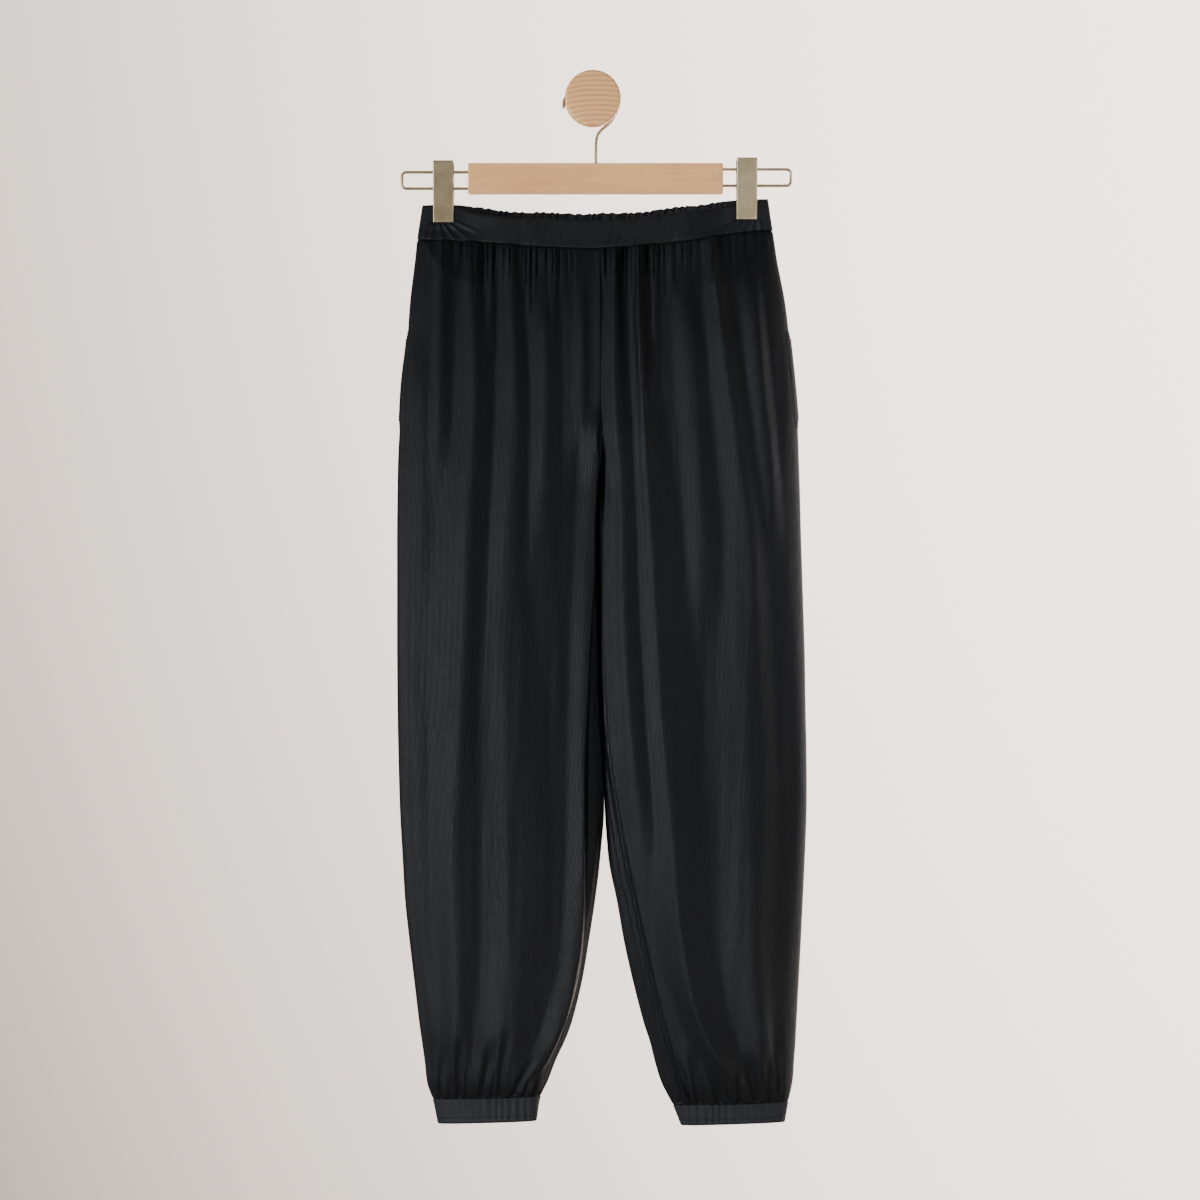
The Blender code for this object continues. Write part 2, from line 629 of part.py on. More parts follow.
def make_clip(clip, material, collection):
    """Two bent plates and the spring barrel between them."""
    for face, direction in (("front", -1.0), ("back", 1.0)):
        name = f"{clip.name}_{face}"
        mesh = bpy.data.meshes.new(name)
        plate = bmesh.new()
        edges = []
        for side in (-0.5, 0.5):
            edges.append([plate.verts.new(Vector((
                clip.x + side * CLIP_WIDTH, HANGER_Y + direction * out, clip.barrel_z + up)) * MM)
                for up, out in PLATE_PROFILE])
        for step in range(len(PLATE_PROFILE) - 1):
            corners = (edges[0][step], edges[0][step + 1], edges[1][step + 1], edges[1][step])
            plate.faces.new(corners if direction < 0.0 else tuple(reversed(corners)))
        plate.to_mesh(mesh)
        plate.free()
        mesh.materials.append(material)
        thing = bpy.data.objects.new(name, mesh)
        collection.objects.link(thing)
        wall = thing.modifiers.new("plate", "SOLIDIFY")
        wall.thickness = CLIP_PLATE * MM
        wall.offset = 1.0
    name = f"{clip.name}_spring"
    mesh = bpy.data.meshes.new(name)
    barrel = bmesh.new()
    bmesh.ops.create_cone(barrel, cap_ends=True, segments=24, radius1=BARREL_RADIUS * MM,
                          radius2=BARREL_RADIUS * MM, depth=(CLIP_WIDTH - 3.0) * MM)
    bmesh.ops.transform(barrel, matrix=Matrix.Rotation(math.pi / 2.0, 4, "Y"), verts=barrel.verts)
    barrel.to_mesh(mesh)
    barrel.free()
    mesh.materials.append(material)
    mesh.shade_smooth()
    mesh.set_sharp_from_angle(angle=math.radians(40.0))
    thing = bpy.data.objects.new(name, mesh)
    thing.location = Vector((clip.x, HANGER_Y, clip.barrel_z)) * MM
    collection.objects.link(thing)


def make_peg(material, collection):
    """Turned wooden peg: its stem carries the hook, its disc keeps it on."""
    mesh = bpy.data.meshes.new("wall_peg")
    profile = [(radius * MM, 0.0, -out * MM) for out, radius in PEG_PROFILE]
    mesh.from_pydata(profile, [(i, i + 1) for i in range(len(profile) - 1)], [])
    mesh.materials.append(material)
    peg = bpy.data.objects.new("wall_peg", mesh)
    collection.objects.link(peg)
    peg.rotation_euler = (-math.pi / 2.0, 0.0, 0.0)
    turned = peg.modifiers.new("turned", "SCREW")
    turned.steps = PEG_STEPS
    turned.render_steps = PEG_STEPS
    turned.use_merge_vertices = True
    turned.merge_threshold = 0.00001
    turned.use_smooth_shade = False


def main():
    clear_scene()
    garment = new_collection("joggers_on_clip_hanger")
    cutters = new_collection("cutters")
    jersey = new_material("charcoal jersey", (0.012, 0.013, 0.014), 0.85)
    beech = new_material("beech", (0.58, 0.38, 0.22), 0.5)
    brass = new_material("pale brass", (0.36, 0.31, 0.21), 0.38, 1.0)
    for half in (RIGHT, LEFT):
        for face in ("front", "back"):
            make_panel(half, face, jersey, garment)
        make_cuff(half, jersey, garment)
    for face in ("front", "back"):
        make_waistband(face, jersey, garment)
    make_bar(beech, garment, cutters)
    for side in ("right", "left"):
        make_wire_loop(side, brass, garment)
    make_hook(brass, garment)
    for clip in CLIPS:
        make_clip(clip, brass, garment)
    make_peg(beech, garment)


main()
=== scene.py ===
"""Looks of the joggers on their clip hanger: draped jersey, beech, brass, studio."""

import math
from collections import namedtuple

import bmesh
import bpy
import numpy as np
from mathutils import Matrix, Vector


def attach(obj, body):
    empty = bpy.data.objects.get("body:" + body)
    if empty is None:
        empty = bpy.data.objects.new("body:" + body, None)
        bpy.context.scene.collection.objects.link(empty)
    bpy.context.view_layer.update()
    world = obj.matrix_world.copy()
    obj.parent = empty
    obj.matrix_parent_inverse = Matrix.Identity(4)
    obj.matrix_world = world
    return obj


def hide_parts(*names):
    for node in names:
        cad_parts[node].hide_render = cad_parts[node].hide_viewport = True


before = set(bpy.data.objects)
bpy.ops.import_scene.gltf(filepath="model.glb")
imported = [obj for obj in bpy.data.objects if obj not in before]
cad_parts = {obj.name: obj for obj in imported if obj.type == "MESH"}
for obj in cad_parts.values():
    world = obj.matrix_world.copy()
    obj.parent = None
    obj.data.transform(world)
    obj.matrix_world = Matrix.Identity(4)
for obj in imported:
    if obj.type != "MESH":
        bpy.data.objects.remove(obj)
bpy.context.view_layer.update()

MM = 0.001

# --- Garment, in millimetres: the sections that the solids are made from ---

SEAM_LAP = 0.05
MEETING_END = 606.0
MEETING_FADE = 56.0
STRIP_RECESS = 2.4
HANGER_Y = -31.0
WAIST_Z = -108.0
ROUNDNESS = 2.5
RISE_START = 225.0
CROTCH = 295.0
SEAM_LEVEL = 38.0
SEAM_FADE = 100.0
EDGE_EASE = 14.0
INSEAM_EASE = 7.0
PANEL_WALL = 1.3
WAISTBAND_WALL = 2.3
CUFF_WALL = 2.1

Row = namedtuple("Row", "drop outer seam inner front back")
RIGHT_ROWS = [Row(*values) for values in (
    (-8, -177, 7, 7, 8.5, 8.5),
    (2, -178, 7, 7, 8.5, 8.5),
    (35, -183, 7, 7, 10, 10),
    (58, -185.5, 6.8, 6.8, 12.5, 12),
    (100, -190.5, 6.5, 6.5, 16, 15),
    (141, -193.5, 6.2, 6.2, 18.5, 17),
    (183, -198.5, 5.9, 5.9, 20, 18.5),
    (225, -201, 5.6, 5.6, 21, 19),
    (266, -203, 5.3, 5.3, 22, 19.5),
    (295, -203.5, 5.2, 5.2, 22.5, 20),
    (334, -204, 1.8, 3, 23, 20),
    (384, -204, -0.4, 3.2, 23, 20),
    (463, -204, -5.2, 5.1, 23, 20),
    (523, -203.5, -8.3, 6.4, 23, 20),
    (576, -202.5, -10.4, 9.3, 22.5, 20),
    (628, -201, -10.4, 11.2, 22, 20),
    (682, -198, -10.6, 7.3, 22, 20),
    (724, -195.5, -11.5, 2.1, 21.5, 19.5),
    (765, -191, -14.6, -4.2, 21, 19),
    (807, -186, -21.5, -11.4, 20.5, 18.5),
    (849, -181, -31.5, -21.8, 20, 18),
    (869, -178, -38, -29, 19, 17),
    (890, -175, -49, -38.5, 17.5, 16),
    (911, -172.5, -60, -46.5, 14.5, 14),
    (927, -167, -65, -54, 10, 10),
    (953, -161.5, -68, -58.5, 8.5, 8.5),
)]
LEFT_ROWS = [Row(*values) for values in (
    (-8, 182, 7, 7, 8.5, 8.5),
    (2, 183.5, 7, 7, 8.5, 8.5),
    (35, 188.5, 7, 7, 10, 10),
    (58, 192, 6.8, 6.8, 12.5, 12),
    (100, 200, 6.5, 6.5, 16, 15),
    (141, 205, 6.2, 6.2, 18.5, 17),
    (183, 209.5, 5.9, 5.9, 20, 18.5),
    (225, 213, 5.6, 5.6, 21, 19),
    (266, 214.5, 5.3, 5.3, 22, 19.5),
    (295, 215.5, 5.2, 5.2, 22.5, 20),
    (334, 216.5, 5, 4.4, 23, 20),
    (384, 218, 5.6, 4.8, 23.5, 20),
    (463, 220.5, 7.4, 6.4, 24, 20),
    (523, 221.5, 9.4, 7.6, 24, 20),
    (576, 222.5, 14, 10.6, 24, 20),
    (628, 222.5, 21.8, 12.6, 24, 20),
    (682, 220.5, 31, 16.5, 23.5, 20),
    (724, 218.5, 40, 25, 23, 19.5),
    (765, 216.5, 48.9, 32.2, 22.5, 19),
    (807, 214.2, 59.3, 41.6, 22, 18.5),
    (849, 212, 69.7, 52.5, 21, 18),
    (869, 211, 75.9, 59.3, 20.5, 17.5),
    (890, 209.5, 82.2, 64.8, 19, 17),
    (911, 208, 89.5, 71.8, 16, 15),
    (933, 203.5, 98, 83, 10, 10),
    (955, 199.7, 104, 91.5, 8.5, 8.5),
)]
Half = namedtuple("Half", "name side rows hem cuff_end cuff_tilt")
RIGHT = Half("right", 1, RIGHT_ROWS, 927.0, 953.0, -0.028)
LEFT = Half("left", -1, LEFT_ROWS, 933.0, 954.5, -0.032)

Edge = namedtuple("Edge", "x front_top back_top seam")
WAIST_EDGES = [Edge(*values) for values in (
    (-190, -0.5, -0.5, 34.8),
    (-167, 0, -1.5, 35.8),
    (-146, 1.5, -1, 36.6),
    (-125, 8, 1.5, 37.6),
    (-100, 12, 4, 39.8),
    (-61, 14, 6, 43),
    (7, 15.6, 7, 45),
    (52, 12.5, 5, 41.8),
    (106, 5.6, -1, 35.8),
    (149, 0, -5.5, 28.2),
    (172, -4.5, -7, 26.4),
    (195, -6.5, -7.5, 26),
)]

Clip = namedtuple("Clip", "name x barrel_z")
CLIPS = (Clip("clip_right", -155.5, -81.5), Clip("clip_left", 160.0, -78.5))
PINCH_DEPTH = 3.0
PINCH_INNER_REACH = 20.0
PINCH_EASE = 45.0
PINCH_END = 26.0
PINCH_OPENING = 0.2

# --- Drape: what the eye sees of the cloth, placed one by one ---

# A fold's crest runs down a line of x, evenly spaced from its top drop to its
# bottom drop, and the widths of its left and right flanks are spaced likewise.
# A height below zero makes it a trough, and sharp is 1 for a creased crest and
# 0 for a soft one.
Fold = namedtuple("Fold", "top bottom line left right height sharp")
FRONT_FOLDS = [Fold(*values) for values in (
    # right leg, outer side to inseam
    (120, 900, (-184, -184, -190, -191, -187, -170), (9, 10), (20, 24), 2.7, 0),
    (38, 340, (-157, -159, -164), (9, 12), (14, 17), 4.4, 0.3),
    (38, 930, (-127, -123, -131, -139, -141, -143), (9, 22, 35, 30, 24, 10),
         (12, 21, 21, 23, 26, 12), 6.2, 0.4),
    (38, 220, (-106, -107, -108), (6, 8), (6, 8), 2.2, 0.2),
    (38, 930, (-87, -80, -87, -83, -83, -98), (9, 22, 22, 33, 33, 14),
         (10, 16, 22, 44, 42, 20), 4.7, 0.2),
    (60, 430, (-52, -48, -50, -55), (16, 22), (14, 19), 4.4, 0.2),
    (38, 230, (-40, -39, -37), (5, 7), (6, 9), 2.2, 0.2),
    (60, 300, (-11, -11, -12), (8, 14), (6, 9), 2.4, 0.2),
    (200, 930, (5, 2, -5, -9, -11, -20, -65), (16, 20, 19, 18, 18, 20, 18), (4, 6), 11.5, 0.7),
    # left leg, inseam to outer side
    (38, 720, (22, 22.5, 30, 32.5, 43, 56), (7, 16, 18, 21, 21, 20),
         (7, 14, 18, 19, 19, 16), 7.4, 0.3),
    (38, 947, (45, 48, 53.5, 60, 65.5, 72, 81, 90, 111, 165),
         (8, 9, 12, 14, 16, 17, 18, 28, 22, 18), (9, 14, 24, 32, 38, 46, 44, 36, 31, 20), 9.6, 0.8),
    (38, 250, (63, 64, 66), (5, 7), (6, 8), 2.4, 0.2),
    (60, 490, (96, 105, 115, 116), (16, 24), (12, 20), 3.6, 0.2),
    (38, 945, (121, 141, 160, 167, 169.5, 168.5, 187), (10, 18, 24, 46, 46, 36, 16),
         (12, 19, 20, 22, 22, 20, 10), 5.8, 0.3),
    (40, 420, (163, 173, 184, 190), (18, 14), (10, 14), 4.2, 0.2),
    (820, 950, (190, 191, 192), (9, 9), (8, 8), -2.6, 0),
)]
BACK_FOLDS = [Fold(*values) for values in (
    (38, 300, (-158, -160, -164), (10, 16), (10, 16), 3.4, 0.2),
    (38, 840, (-118, -122, -128, -136, -142), (10, 26), (14, 30), 5.4, 0.4),
    (38, 330, (-84, -80, -70, -60), (12, 18), (10, 16), 3.6, 0.2),
    (210, 470, (-20, -40, -66, -92), (12, 18), (9, 14), 4.2, 0.3),
    (260, 900, (-60, -72, -86, -104, -122), (18, 30), (12, 22), 5.2, 0.3),
    (420, 860, (-30, -34, -44, -72), (12, 16), (14, 20), 3.4, 0),
    (38, 240, (-44, -42, -40), (9, 12), (9, 12), 3, 0.2),
    (38, 260, (36, 38, 42), (9, 12), (9, 12), 3, 0.2),
    (38, 310, (162, 168, 174), (10, 16), (10, 16), 3.4, 0.2),
    (38, 870, (112, 124, 132, 140, 150, 160), (10, 28), (14, 30), 5.6, 0.4),
    (38, 320, (80, 76, 68, 60), (12, 18), (10, 16), 3.6, 0.2),
    (220, 480, (26, 48, 74, 100), (9, 14), (12, 18), 4.2, 0.3),
    (280, 910, (66, 76, 92, 112, 140), (14, 24), (18, 30), 5, 0.3),
    (460, 880, (36, 46, 66, 96), (12, 16), (14, 20), 3.2, 0),
)]

# Waist gathers: how many have been counted at a place along the waist, and
# how tall and how long they are there.
Gather = namedtuple("Gather", "x count height length")
FRONT_GATHERS = [Gather(*values) for values in (
    (-190, -3, 0.6, 30),
    (-153, 0, 1.8, 60),
    (-120, 4.4, 2.6, 90),
    (-75, 10.4, 2.6, 80),
    (-40, 15.2, 2.4, 80),
    (-22, 17.8, 1.5, 45),
    (-14, 18.6, 0.2, 30),
    (3, 19.5, 0.2, 30),
    (10, 20.5, 2.3, 90),
    (46, 26.5, 2.6, 90),
    (78, 31.2, 2.3, 90),
    (110, 34.6, 1.9, 80),
    (150, 38.8, 1.7, 70),
    (195, 44, 0.8, 40),
)]
BACK_GATHERS = [Gather(*values) for values in (
    (-190, -3, 0.6, 50),
    (-150, 0, 2, 70),
    (-80, 9, 2.7, 90),
    (0, 19, 2.3, 70),
    (80, 30, 2.7, 90),
    (155, 39, 2, 70),
    (195, 44, 0.8, 50),
)]

# Short troughs gathered into each cuff: where each starts at the hem and
# where it has run to, how far up it goes, its half width and its depth.
CuffFold = namedtuple("CuffFold", "x_hem x_top height width depth")
CUFF_FOLDS = [CuffFold(*values) for values in (
    (-158, -155, 60, 5, 2.6), (-148, -149, 30, 4, 1.6),
    (-139, -137, 75, 5, 2.8), (-131, -132, 38, 4, 2),
    (-116, -101, 70, 6, 3.2), (-104, -102, 34, 4, 2),
    (-98, -88, 78, 5, 3), (-84, -60, 46, 6, 3.2),
    (-72, -62, 30, 4, 2.2), (-63, -57, 34, 4, 2),
    (92, 84, 60, 5, 2.2), (101, 90, 48, 4, 2.4),
    (110, 101, 66, 5, 3.2), (117, 112, 36, 4, 2.2),
    (132, 118, 58, 6, 3.4), (143, 137, 34, 4, 2),
    (153, 150, 44, 5, 2.6), (170, 158, 56, 6, 3.2),
    (184, 180, 72, 5, 2.8), (194, 193, 34, 4, 1.8),
)]

# Drag creases of the front waistband, fanning out under the clips and
# slanting across the middle: ends as x and drop, half width, height.
Crease = namedtuple("Crease", "x_start drop_start x_end drop_end width height")
BAND_CREASES = [Crease(*values) for values in (
    (-166, 14, -176, 32, 3.2, 1.3),
    (-166, 19, -169, 36, 3, 0.9),
    (-160, 19, -156, 36, 2.6, 0.7),
    (-156, 19, -144, 35, 2.8, 0.9),
    (-150, 18, -132, 33, 3, 0.8),
    (-146, 15, -120, 28, 3.2, 0.6),
    (-58, 22, -68, 42, 3.6, 0.7),
    (-46, 18, -60, 40, 3.4, 0.6),
    (20, 20, 12, 44, 3, 0.6),
    (31, 18, 21, 43, 2.8, 0.8),
    (42, 18, 28, 42, 3, 0.7),
    (55, 14, 40, 41, 3, 0.9),
    (82, 10, 62, 39, 3.4, 0.7),
    (96, 10, 86, 36, 3, 0.9),
    (112, 10, 92, 34, 3.2, 0.6),
    (150, 16, 126, 30, 3, 1.1),
    (156, 16, 140, 29, 2.8, 1),
    (162, 16, 154, 28, 2.6, 0.8),
    (168, 14, 165, 27, 2.6, 0.9),
    (172, -4, 174, 26, 3, 1.2),
)]
RUCHE_PITCH = 9.5
RUCHE_HEIGHT = 1.3


def ease(value):
    """Smooth step from 0 to 1."""
    value = np.clip(value, 0.0, 1.0)
    return value * value * (3.0 - 2.0 * value)


def bell(away, width):
    """1 at a line, falling off on both sides of it."""
    return np.exp(-(away / width) ** 2)


def along(rows, name, at):
    """A table's column at many places of its first one, on a smooth curve through its rows."""
    places = np.array([row[0] for row in rows], float)
    values = np.array([getattr(row, name) for row in rows], float)
    before = np.maximum(np.arange(len(rows)) - 1, 0)
    after = np.minimum(np.arange(len(rows)) + 1, len(rows) - 1)
    slopes = (values[after] - values[before]) / (places[after] - places[before])
    at = np.asarray(at, float)
    low = np.clip(np.searchsorted(places, at, side="left") - 1, 0, len(rows) - 2)
    span = places[low + 1] - places[low]
    part = np.clip((at - places[low]) / span, 0.0, 1.0)
    rest = 1.0 - part
    return (values[low] * (1.0 + 2.0 * part) * rest * rest
            + slopes[low] * span * part * rest * rest
            + values[low + 1] * part * part * (3.0 - 2.0 * part)
            - slopes[low + 1] * span * part * part * rest)


def pinched(depth, x, drop, inset):
    """Depth of the cloth where the clips press it flat."""
    limit = PINCH_DEPTH + PINCH_OPENING * np.maximum(drop - PINCH_END, 0.0) - inset
    for clip in CLIPS:
        inward = (clip.x - x) * math.copysign(1.0, clip.x)
        share = 1.0 - ease((inward - PINCH_INNER_REACH) / PINCH_EASE)
        pressed = depth + (limit - depth) * share
        depth = np.where((x * clip.x > 0.0) & (depth > limit), pressed, depth)
    return depth


def inner_fold(half, drop):
    """The legs lie against each other from the crotch down to where they part."""
    right, left = (along(each.rows, "inner", drop) for each in (RIGHT, LEFT))
    meet = 1.0 - ease((drop - MEETING_END) / MEETING_FADE)
    own = right if half is RIGHT else left
    return own + ((right + left) / 2.0 - own) * meet


TURN_STEP = 0.004


def closed_share(drop):
    """0 above the rise and 1 below the crotch, where each leg is a tube of its own."""
    return ease((drop - RISE_START) / (CROTCH - RISE_START))


def section(half, drop, turn, inset=0.0):
    """Points of a half's section at given drops and turns round it.

    A turn of 0 is the outer fold, up to pi the back, down to -pi the front;
    past pi the turn goes on round the inner fold to the front.
    """
    closed = closed_share(drop)
    outer = along(half.rows, "outer", drop) + half.side * inset
    inner = inner_fold(half, drop) + half.side * (SEAM_LAP - inset * closed)
    middle = (outer + inner) / 2.0
    reach = (inner - outer) / 2.0
    cosine = np.cos(turn)
    across = -np.sign(cosine) * np.abs(cosine) ** (2.0 / ROUNDNESS)
    lift = np.abs(np.sin(turn)) ** (2.0 / ROUNDNESS)
    lift = np.where(across > 0.0, 1.0 - closed * (1.0 - lift), lift)
    x = middle + reach * across
    in_front = (turn < 0.0) | (turn > math.pi + TURN_STEP)
    depth = np.where(in_front, along(half.rows, "front", drop),
                     along(half.rows, "back", drop)) - inset
    y = np.where(in_front, -1.0, 1.0) * pinched(depth * lift, x, drop, inset)
    return x, y


# Lengths round an ordinary section, so that columns are spread evenly over it.
TURNS = np.linspace(0.0, math.tau, 2001)
GUIDE_REACH = 104.0
GUIDE_DEPTH = 20.0


def guide_lengths():
    cosine = np.cos(TURNS)
    x = -GUIDE_REACH * np.sign(cosine) * np.abs(cosine) ** (2.0 / ROUNDNESS)
    sine = np.sin(TURNS)
    y = GUIDE_DEPTH * np.sign(sine) * np.abs(sine) ** (2.0 / ROUNDNESS)
    steps = np.hypot(np.diff(x), np.diff(y))
    return np.concatenate(([0.0], np.cumsum(steps)))


LENGTHS = guide_lengths()


def seam_turn(half, drop):
    """Turn from the outer fold round the front to the inseam."""
    outer = along(half.rows, "outer", drop)
    inner = inner_fold(half, drop)
    seam = along(half.rows, "seam", drop)
    share = (seam - (outer + inner) / 2.0) / ((inner - outer) / 2.0)
    share = np.clip(np.where(drop <= CROTCH, 1.0, share), 0.0, 1.0)
    return np.arccos(-share ** (ROUNDNESS / 2.0))


def panel_end(half, face, drop):
    """Turn at which a panel ends, seen as a plus value."""
    end = seam_turn(half, drop)
    return math.tau - end if face == "back" else end


def panel_run(half, face, drop):
    """Length of a panel's cloth from its side seam to its other edge."""
    return np.interp(panel_end(half, face, drop), TURNS, LENGTHS)


def run_turn(face, run):
    """Turn at a distance from the side seam."""
    turn = np.interp(run, LENGTHS, TURNS)
    return turn if face == "back" else -turn


def outward(half, drop, turn, first, last):
    """Normal of the section, from points a little either side of a turn."""
    x_before, y_before = section(half, drop, np.clip(turn - TURN_STEP, first, last))
    x_after, y_after = section(half, drop, np.clip(turn + TURN_STEP, first, last))
    across = x_after - x_before
    inward = y_after - y_before
    length = np.maximum(np.hypot(across, inward), 1e-9)
    return -half.side * inward / length, half.side * across / length


def bent(values, part):
    """A smooth curve through evenly spaced values, at parts from 0 to 1."""
    values = np.array([2 * values[0] - values[1], *values, 2 * values[-1] - values[-2]], float)
    place = np.clip(part, 0.0, 1.0) * (len(values) - 3)
    low = np.minimum(place.astype(int), len(values) - 4)
    part = place - low
    before, start, end, after = (values[low + step] for step in range(4))
    third = 3.0 * (start - end) + after - before
    second = 2.0 * before - 5.0 * start + 4.0 * end - after
    return start + 0.5 * part * (end - before + part * (second + part * third))


CREST_ROUNDING = 0.12
FOLD_START = 80.0
FOLD_FADE = 75.0
HANGING_FADE = 170.0
CUFFED = 860.0


def fold_height(folds, x, drop):
    height = np.zeros_like(x)
    for fold in folds:
        part = np.clip((drop - fold.top) / (fold.bottom - fold.top), 0.0, 1.0)
        offset = x - bent(fold.line, part)
        left, right = (bent(widths, part) for widths in (fold.left, fold.right))
        away = np.where(offset > 0.0, offset / right, -offset / left)
        away = np.sqrt(away ** 2 + CREST_ROUNDING ** 2) - CREST_ROUNDING
        rest = np.clip(1.0 - away, 0.0, 1.0)
        profile = (1.0 - fold.sharp) * ease(rest) + fold.sharp * rest ** 1.7
        start = 1.0 if fold.top <= SEAM_LEVEL else ease((drop - fold.top) / FOLD_START)
        # A fold that isn't gathered into the cuff dies out slowly.
        fade = FOLD_FADE if fold.bottom > CUFFED else HANGING_FADE
        height += fold.height * profile * start * ease((fold.bottom - drop) / fade)
    return height


def scatter(index, seed):
    """A number from 0 to 1 that looks random and is always the same for an index."""
    value = np.sin(index * 12.9898 + seed * 78.233) * 43758.5453
    return value - np.floor(value)


def gather_height(table, x, level):
    """Waist gathers: round crowns between sharp troughs, each of its own length."""
    count = along(table, "count", x)
    count = count + 0.18 * np.sin(count * 2.1) + 0.1 * np.sin(count * 5.3 + level / 30.0)
    index = np.floor(count)
    crown = np.abs(np.sin(math.pi * count)) ** 0.8
    tall = along(table, "height", x) * (0.7 + 0.8 * scatter(index, 1.0))
    long = along(table, "length", x) * (0.25 + 1.0 * scatter(index, 2.0) ** 2)
    below = np.maximum(level - SEAM_LEVEL, 0.0)
    rise = 0.6 + 0.4 * ease(below / 6.0)
    fade = 1.0 - ease(below / (long + 14.0))
    # A pit narrows downwards, because its crowns widen as the cloth hangs free.
    return tall * rise * (crown ** (0.4 + 0.6 * fade) - 1.0) * fade + 0.5 * tall * rise * fade


def cuff_height(half, x, y, level):
    """Troughs gathered into the cuff, and the soft bulge of cloth above it."""
    above = half.hem - level
    height = np.zeros_like(x)
    for fold in CUFF_FOLDS:
        if fold.x_hem * half.side > 0.0:
            continue
        part = above / fold.height
        up = np.clip(part, 0.0, 1.0)
        line = fold.x_hem + (fold.x_top - fold.x_hem) * up
        offset = np.abs(x + 5.0 * (y > 0.0) - line) / (fold.width * (1.0 + 0.6 * up))
        height -= fold.depth * ease(1.0 - offset) * ease(2.0 * (1.0 - part))
    height += 1.6 * ease(above / 8.0) * (1.0 - ease((above - 8.0) / 40.0))
    return height


def ripple(x, drop, seed):
    """Slight unevenness of hanging jersey, long down the leg and short across it."""
    waves = ((31.0, 520.0, 0.2), (19.0, 380.0, 0.12), (53.0, 240.0, 0.22), (12.5, 430.0, 0.06))
    height = np.zeros_like(x)
    for index, (across, down, size) in enumerate(waves):
        phase = 6.0 * scatter(index + 3.0, seed)
        bend = 7.0 * np.sin(drop / (down * 0.5) + phase)
        height += size * np.sin(math.tau * (x + bend) / across + phase) * np.cos(
            math.tau * drop / down + 2.0 * phase)
    return height


def waist_seam(x):
    return along(WAIST_EDGES, "seam", x)


def seam_drop(x, level):
    """Drop of a level line: near the waist it follows the waist seam."""
    return level + (waist_seam(x) - SEAM_LEVEL) * (1.0 - ease((level - SEAM_LEVEL) / SEAM_FADE))


def hem_shift(half, x, level):
    outer = along(half.rows, "outer", half.hem)
    inner = along(half.rows, "inner", half.hem)
    tilt = half.cuff_tilt * (x - (outer + inner) / 2.0)
    return tilt * ease((level - half.hem + 90.0) / 70.0)


LEG_SOFTENING = {"right": 0.35, "left": 0.0}
SEAM_RIDGE = {"right": 0.0, "left": 2.0}
SEAM_RIDGE_PLACE = 4.4
SEAM_RIDGE_WIDTH = 2.2
SEAM_GROOVE = {"right": 0.25, "left": 0.6}
SEAM_GROOVE_WIDTH = 1.1
HIPS_END = 250.0
HIPS_FADE = 190.0
HEM_COVER = 1.2
HEM_COVER_EASE = 0.7
POCKET_TOP = 134.0
POCKET_END = 228.0


def pocket_share(drop):
    """1 along the pocket mouth in the side seam, fading at its bar tacks."""
    return ease((drop - POCKET_TOP) / 6.0) * ease((POCKET_END - drop) / 6.0)


def panel_height(half, face, x, y, drop, level, from_side, from_inner):
    """How far the cloth stands out of its plain section."""
    front = y < 0.0
    folds = np.where(front, fold_height(FRONT_FOLDS, x, drop), fold_height(BACK_FOLDS, x, drop))
    # Below the hips the folds of one leg hang out flatter than the other's.
    folds = folds * (1.0 - LEG_SOFTENING[half.name] * ease((drop - HIPS_END) / HIPS_FADE))
    gathers = np.where(front, gather_height(FRONT_GATHERS, x, level),
                       gather_height(BACK_GATHERS, x, level))
    outer = along(half.rows, "outer", drop)
    inner = inner_fold(half, drop)
    closed = closed_share(drop)
    inseam = np.abs(inner - x) * EDGE_EASE / INSEAM_EASE + (1.0 - closed) * EDGE_EASE
    edge = np.minimum(np.abs(x - outer), inseam)
    taper = ease(edge / EDGE_EASE)
    near_hem = ease((half.hem - level) / 12.0)
    height = taper * (folds * near_hem + ripple(x, drop, half.side + 2.0 * front) * near_hem)
    height += ease(edge / 7.0) * gathers
    height += taper ** 0.5 * cuff_height(half, x, y, level)
    # Seams: the cloth turns in to the stitching.
    clear = ease(1.0 - 4.0 * closed) + closed * ease(np.abs(inner - x) / 5.0)
    height -= 0.5 * bell(from_side, 1.6)
    height -= SEAM_GROOVE[half.name] * clear * bell(from_inner, SEAM_GROOVE_WIDTH)
    height += SEAM_RIDGE[half.name] * clear * bell(from_inner - SEAM_RIDGE_PLACE, SEAM_RIDGE_WIDTH)
    height -= 1.0 * bell(level - SEAM_LEVEL, 1.3)
    height -= 0.8 * bell(level - half.hem, 1.3)
    if face == "front":
        height += 1.5 * pocket_share(drop) * bell(from_side, 7.0)
    else:
        # Past the inner fold the back panel lies behind the front one's edge.
        height -= STRIP_RECESS * closed * ease(from_inner / 2.5) * ease(-y / 5.0)
    # At the hem the cloth stays over the cuff's edge, so that no gap opens there.
    return np.maximum(height, -HEM_COVER - HEM_COVER_EASE * (half.hem - level))


